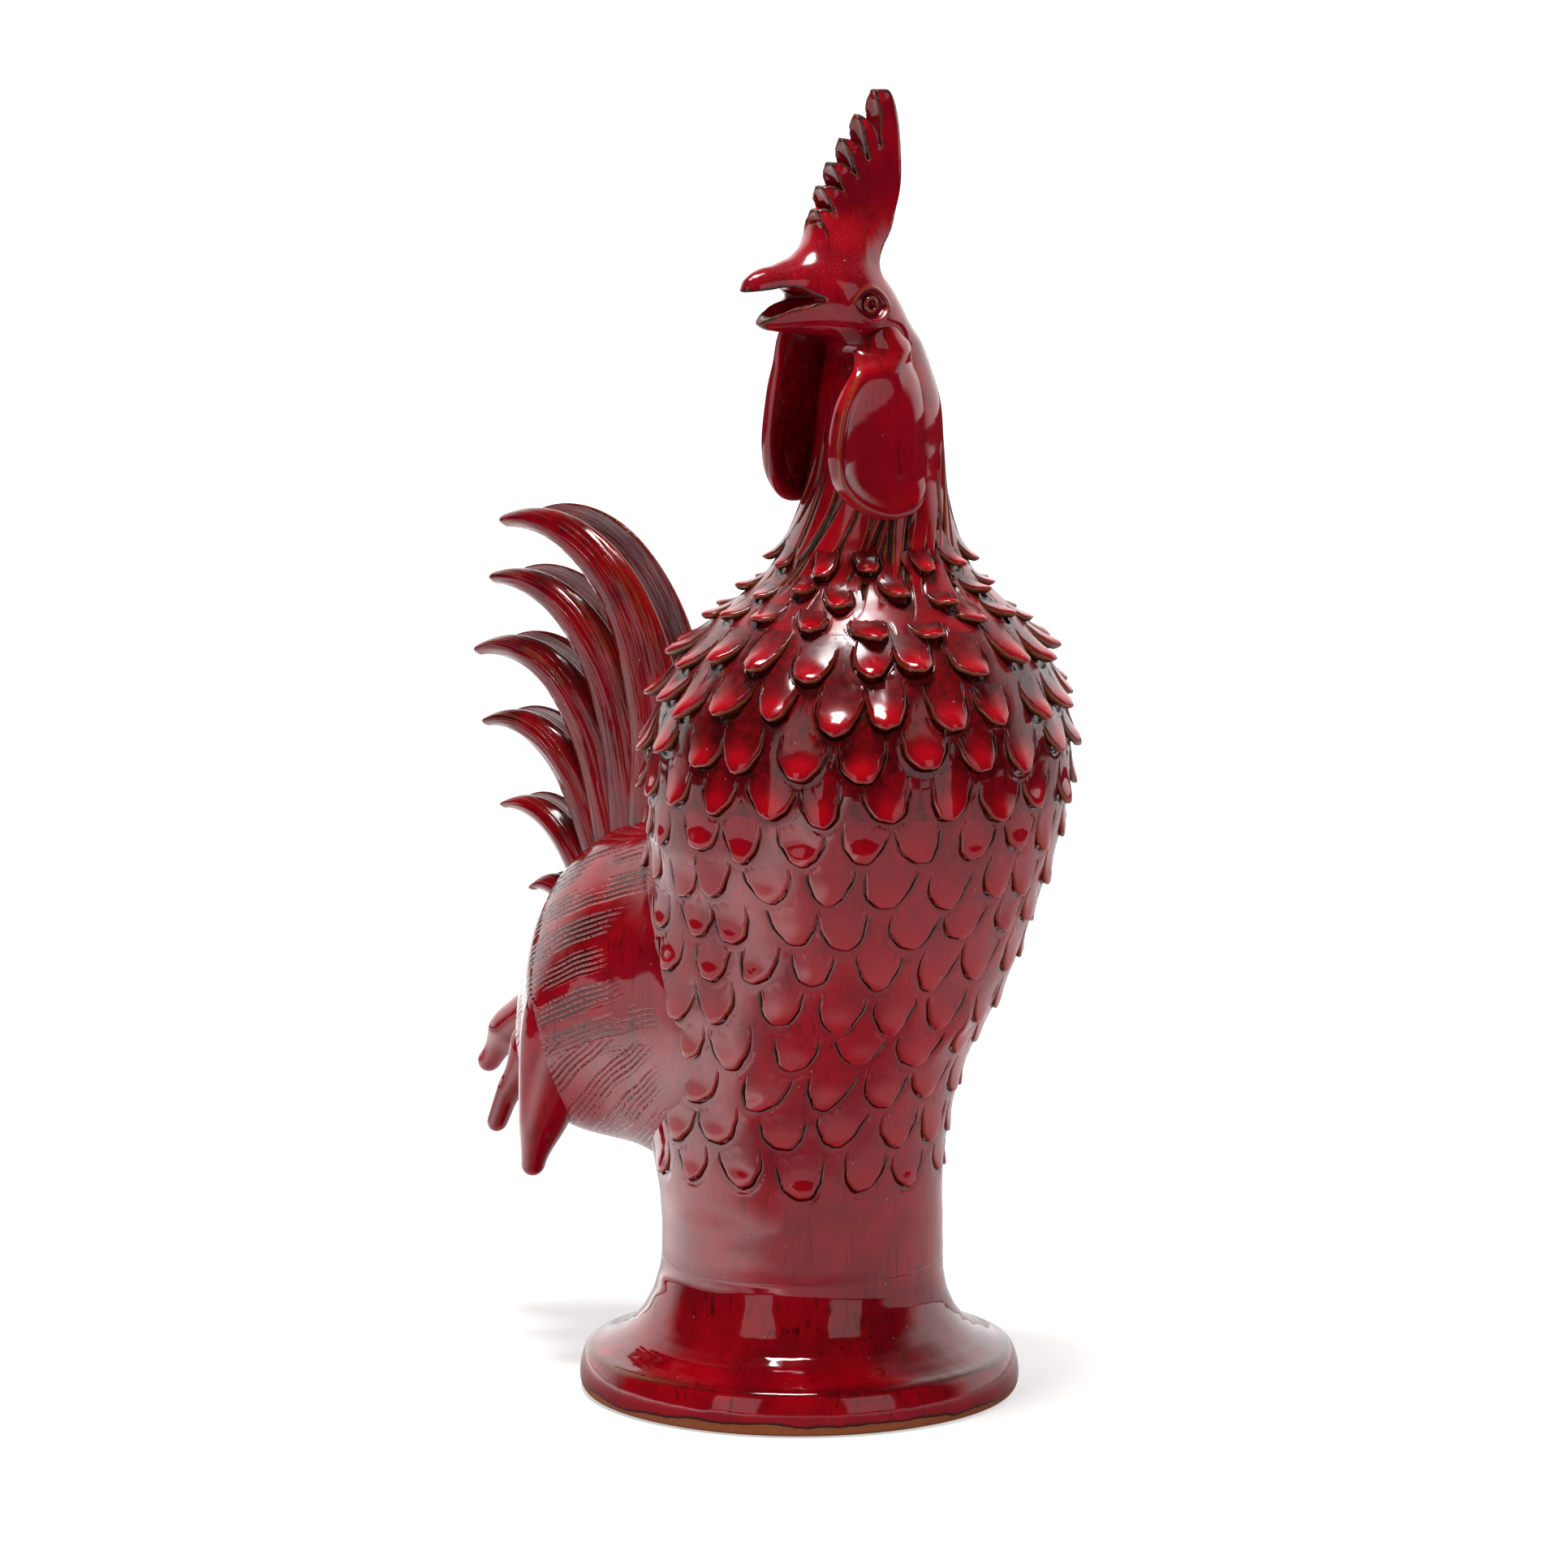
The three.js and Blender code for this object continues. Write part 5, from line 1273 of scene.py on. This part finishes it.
is_comb = (centres[:, 2] > COMB_ROOT) & (centres[:, 2] > COMB_ROOT + 0.35 * (centres[:, 0] - 14))
is_beak = (centres[:, 0] > BEAK_ROOT) & ~is_comb
is_upper = is_beak & (centres[:, 2] > -0.6 - 0.02 * (centres[:, 0] - BEAK_ROOT))
above_throat = centres[:, 2] > THROAT_EDGE
glazed_head = red_glaze("red_glaze_on_smoothed_clay", thin="#a00411", thick="#6a030d", painted_top_sheen=0.4, frosting=0.1)
for name, slot, node, chosen in (("head_skull", "head", "head", ~is_comb & ~is_beak & above_throat),
                                 ("comb_toothed", "comb", "comb", is_comb),
                                 ("beak_upper_half", "beak", "beak_upper", is_upper),
                                 ("beak_lower_half", "beak", "beak_lower", is_beak & ~is_upper)):
    used, renumbered = np.unique(head_faces[chosen], return_inverse=True)
    fit(clay_piece(name, row_points[used], renumbered.reshape(-1, 4),
                   {mark: values[used] for mark, values in head_marks.items()}, normals=normals[used]),
        glazed_head, slot, node)


# Eyes
# Each eye is a flattened pellet of the same clay with a ring pressed round its pupil. It is luted into an
# almond socket, whose rim is a thin roll of clay.

EYE_RADIUS = 3.3
EYE_ROUND = 40
EYE_RINGS = 30
glazed_eyes = red_glaze("red_glaze_on_eyes", thin="#9a040e", thick="#5a0409")
# From the pupil out: share of the radius and height over the socket
pellet = [(0.02, 0.2), (0.22, 0.3), (0.4, 0.75), (0.55, 1.7), (0.72, 2.05), (0.9, 1.7), (1.02, 0.8),
          (1.06, -1.5)]
walk = np.linspace(0, len(pellet) - 1, EYE_RINGS)
out, height = through(pellet, walk)
turn = evenly_round(EYE_ROUND)
for side_name, side in (("right", -1), ("left", 1)):
    rings = np.stack([EYE_AHEAD + EYE_RADIUS * out[:, None] * np.cos(turn) * side,
                      side * (16.7 + height[:, None] + 0 * turn),
                      -EYE_DROP + EYE_RADIUS * out[:, None] * np.sin(turn)], -1)
    marks = {"worn": np.repeat(np.exp(-((out - 0.74) / 0.16) ** 2), EYE_ROUND) * 0.8,
             "pool_and_shade": np.repeat(0.8 * step(0.45, 0.25, out) + 0.7 * step(0.95, 1.05, out), EYE_ROUND)}
    points = to_row(rings.reshape(-1, 3))
    fit(clay_piece(f"eye_{side_name}_pellet", points, ring_faces(EYE_RINGS, EYE_ROUND), marks), glazed_eyes,
        "eyes", f"eye_{side_name}")


# Wattles
# Each wattle is a leaf of clay pressed a little hollow with a thumb. The root of the near one is smeared on
# to the cheek and its back edge on to the neck. The rounded front edges of both stand free.

WATTLE_LENGTH = 66
WATTLE_WIDTH = 46
WATTLE_THICKNESS = 9
WATTLE_DROP = 14  # from the middle of the head down to its root
WATTLE_SPREAD = 26  # how far to the side it hangs
ROOT_SPREAD = 14
NEAR_SPREAD = 23.5  # the same for the near one, whose root follows the cheek
LEAF_ROUND = 96
LEAF_RINGS = 56
# Outlines as shares of width and length, from the root down the front edge and up the back one
left_leaf = ((0.06, -0.03), (0.34, 0.15), (0.53, 0.34), (0.61, 0.56), (0.585, 0.74), (0.47, 0.87),
             (0.28, 0.96), (0.04, 1.0), (-0.21, 0.95), (-0.4, 0.79), (-0.46, 0.5), (-0.46, 0.25),
             (-0.18, 0.0))
right_leaf = ((0.64, -0.04), (0.655, 0.18), (0.65, 0.41), (0.64, 0.63), (0.57, 0.81), (0.4, 0.93),
              (0.16, 0.955), (-0.02, 0.89), (-0.1, 0.7), (-0.08, 0.45), (0, 0.2), (0.1, 0.06), (0.24, -0.06))
half = WATTLE_THICKNESS / 2
# Over the leaf from its back to its face: share of the way out, height of a plain leaf and of one with a rim
section = [(0.02, -0.7, -0.7), (0.35, -0.75, -0.75), (0.65, -0.86, -0.86), (0.84, -0.85, -0.9),
           (0.94, -0.66, -0.75), (0.99, -0.35, -0.4), (1, 0.0, 0.0), (0.99, 0.2, 0.4), (0.965, 0.38, 0.72),
           (0.92, 0.5, 0.88), (0.86, 0.58, 0.82), (0.79, 0.62, 0.62), (0.7, 0.64, 0.42), (0.55, 0.62, 0.24),
           (0.38, 0.58, 0.14), (0.2, 0.55, 0.1), (0.02, 0.54, 0.08)]
walk = np.linspace(0, len(section) - 1, LEAF_RINGS)
shares, plain, rimmed = (column[:, None] for column in through(section, walk))
glazed_wattles = red_glaze("red_glaze_on_pressed_clay", painted_top_sheen=0.12)
for side_name, side, turn_in, leaf in (("right", -1, 14, right_leaf), ("left", 1, 0, left_leaf)):
    looped = np.array(leaf[-3:] + leaf + leaf[:4]) * (WATTLE_WIDTH, WATTLE_LENGTH)
    places = np.linspace(0, len(leaf), LEAF_ROUND + 1)[:-1]
    edge = np.stack([smooth(places, np.arange(-3, len(leaf) + 4), looped[:, i]) for i in (0, 1)], -1)
    middle = np.array((WATTLE_WIDTH * 0.14, WATTLE_LENGTH * 0.55))
    at = middle + (edge[None] - middle) * shares[..., None]
    along, drop = at[..., 0], at[..., 1]
    rimmed_here = np.clip(step(-9, 12, along) + step(46, 60, drop), 0, 1) * step(6, 22, drop)
    if side < 0:
        rimmed_here = 0.4 + 0.6 * rimmed_here
    out = half * (plain * (1 - rimmed_here) + rimmed * rimmed_here) * (0.55 + 0.45 * step(0, 22, drop))
    out = out + 0.4 * np.sin(along * 0.13 + 1) * np.cos(drop * 0.11)
    bend = np.maximum(0, 1 - drop / (WATTLE_LENGTH * 0.85))
    spread = WATTLE_SPREAD + (ROOT_SPREAD - WATTLE_SPREAD) * bend**1.7
    inward = math.radians(turn_in)
    leaf_x = along * math.cos(inward) - out * math.sin(inward)
    leaf_y = spread + out * math.cos(inward) - along * math.sin(inward)
    # The near one lies against the cheek and the neck, and its root and back edge go over into them
    if side > 0:
        leaf_y = leaf_y + NEAR_SPREAD - 2.5 * bend**2 - spread
        leaf_y = leaf_y + 1.4 * np.exp(-(((drop - 14) / 17) ** 2) - ((along - 8) / 14) ** 2)
        low = -WATTLE_DROP - drop
        radius, lean = line_at(HEAD_MIDDLE[2] + low)
        middle = from_row(np.stack([lean, 0 * drop, 0 * drop], -1))
        round_neck = 1 - ((leaf_x - middle[..., 0]) / radius) ** 2
        on_neck = middle[..., 1] + radius * np.sqrt(np.maximum(0.1, round_neck))
        back, front, wide = read_table(skull_line, low)
        round_skull = 1 - ((leaf_x - (back + front) / 2) / ((front - back) / 2)) ** 2
        on_skull = wide * np.sqrt(np.maximum(0.1, round_skull))
        on_skin = on_neck + (on_skull - on_neck) * step(-31, -17, low)
        smeared = np.maximum(step(3, -19, leaf_x), step(13, -2, drop))
        sunk = 1.9 + 2.6 * step(-6, -18, leaf_x) + step(6, -2, drop)
        sunk = sunk + 2.4 * step(-3, -12, leaf_x) * step(17, 7, drop)
        leaf_y = leaf_y * (1 - smeared) + (on_skin - sunk + 0.42 * (out + half)) * smeared
    points = to_row(np.stack([leaf_x, side * leaf_y, -WATTLE_DROP - drop], -1).reshape(-1, 3))
    faces = ring_faces(LEAF_RINGS, LEAF_ROUND).tolist()
    faces.append(list(range(LEAF_ROUND))[::-1])
    faces.append(list(range(LEAF_RINGS * LEAF_ROUND))[-LEAF_ROUND:])
    crest = np.exp(-((shares - 0.95) / 0.025) ** 2) * step(0.1, 0.4, rimmed)
    beside = np.exp(-((shares - 0.84) / 0.03) ** 2) * step(0.1, 0.4, rimmed)
    front = step(8, 18, along) * step(2, 12, drop)
    # Painted shade on the inner face of the far wattle, which looks toward the neck.
    shaded = 0.3 * step(0.1, -0.5, plain) * step(0.95, 0.8, shares) * (side < 0)
    marks = {"worn": (0.75 * crest * front).ravel(), "pool_and_shade": np.maximum(0.3 * beside * front, shaded).ravel()}
    fit(clay_piece(f"wattle_{side_name}_leaf", points, [face[::side] for face in faces], marks),
        glazed_wattles, "wattles", f"wattle_{side_name}")
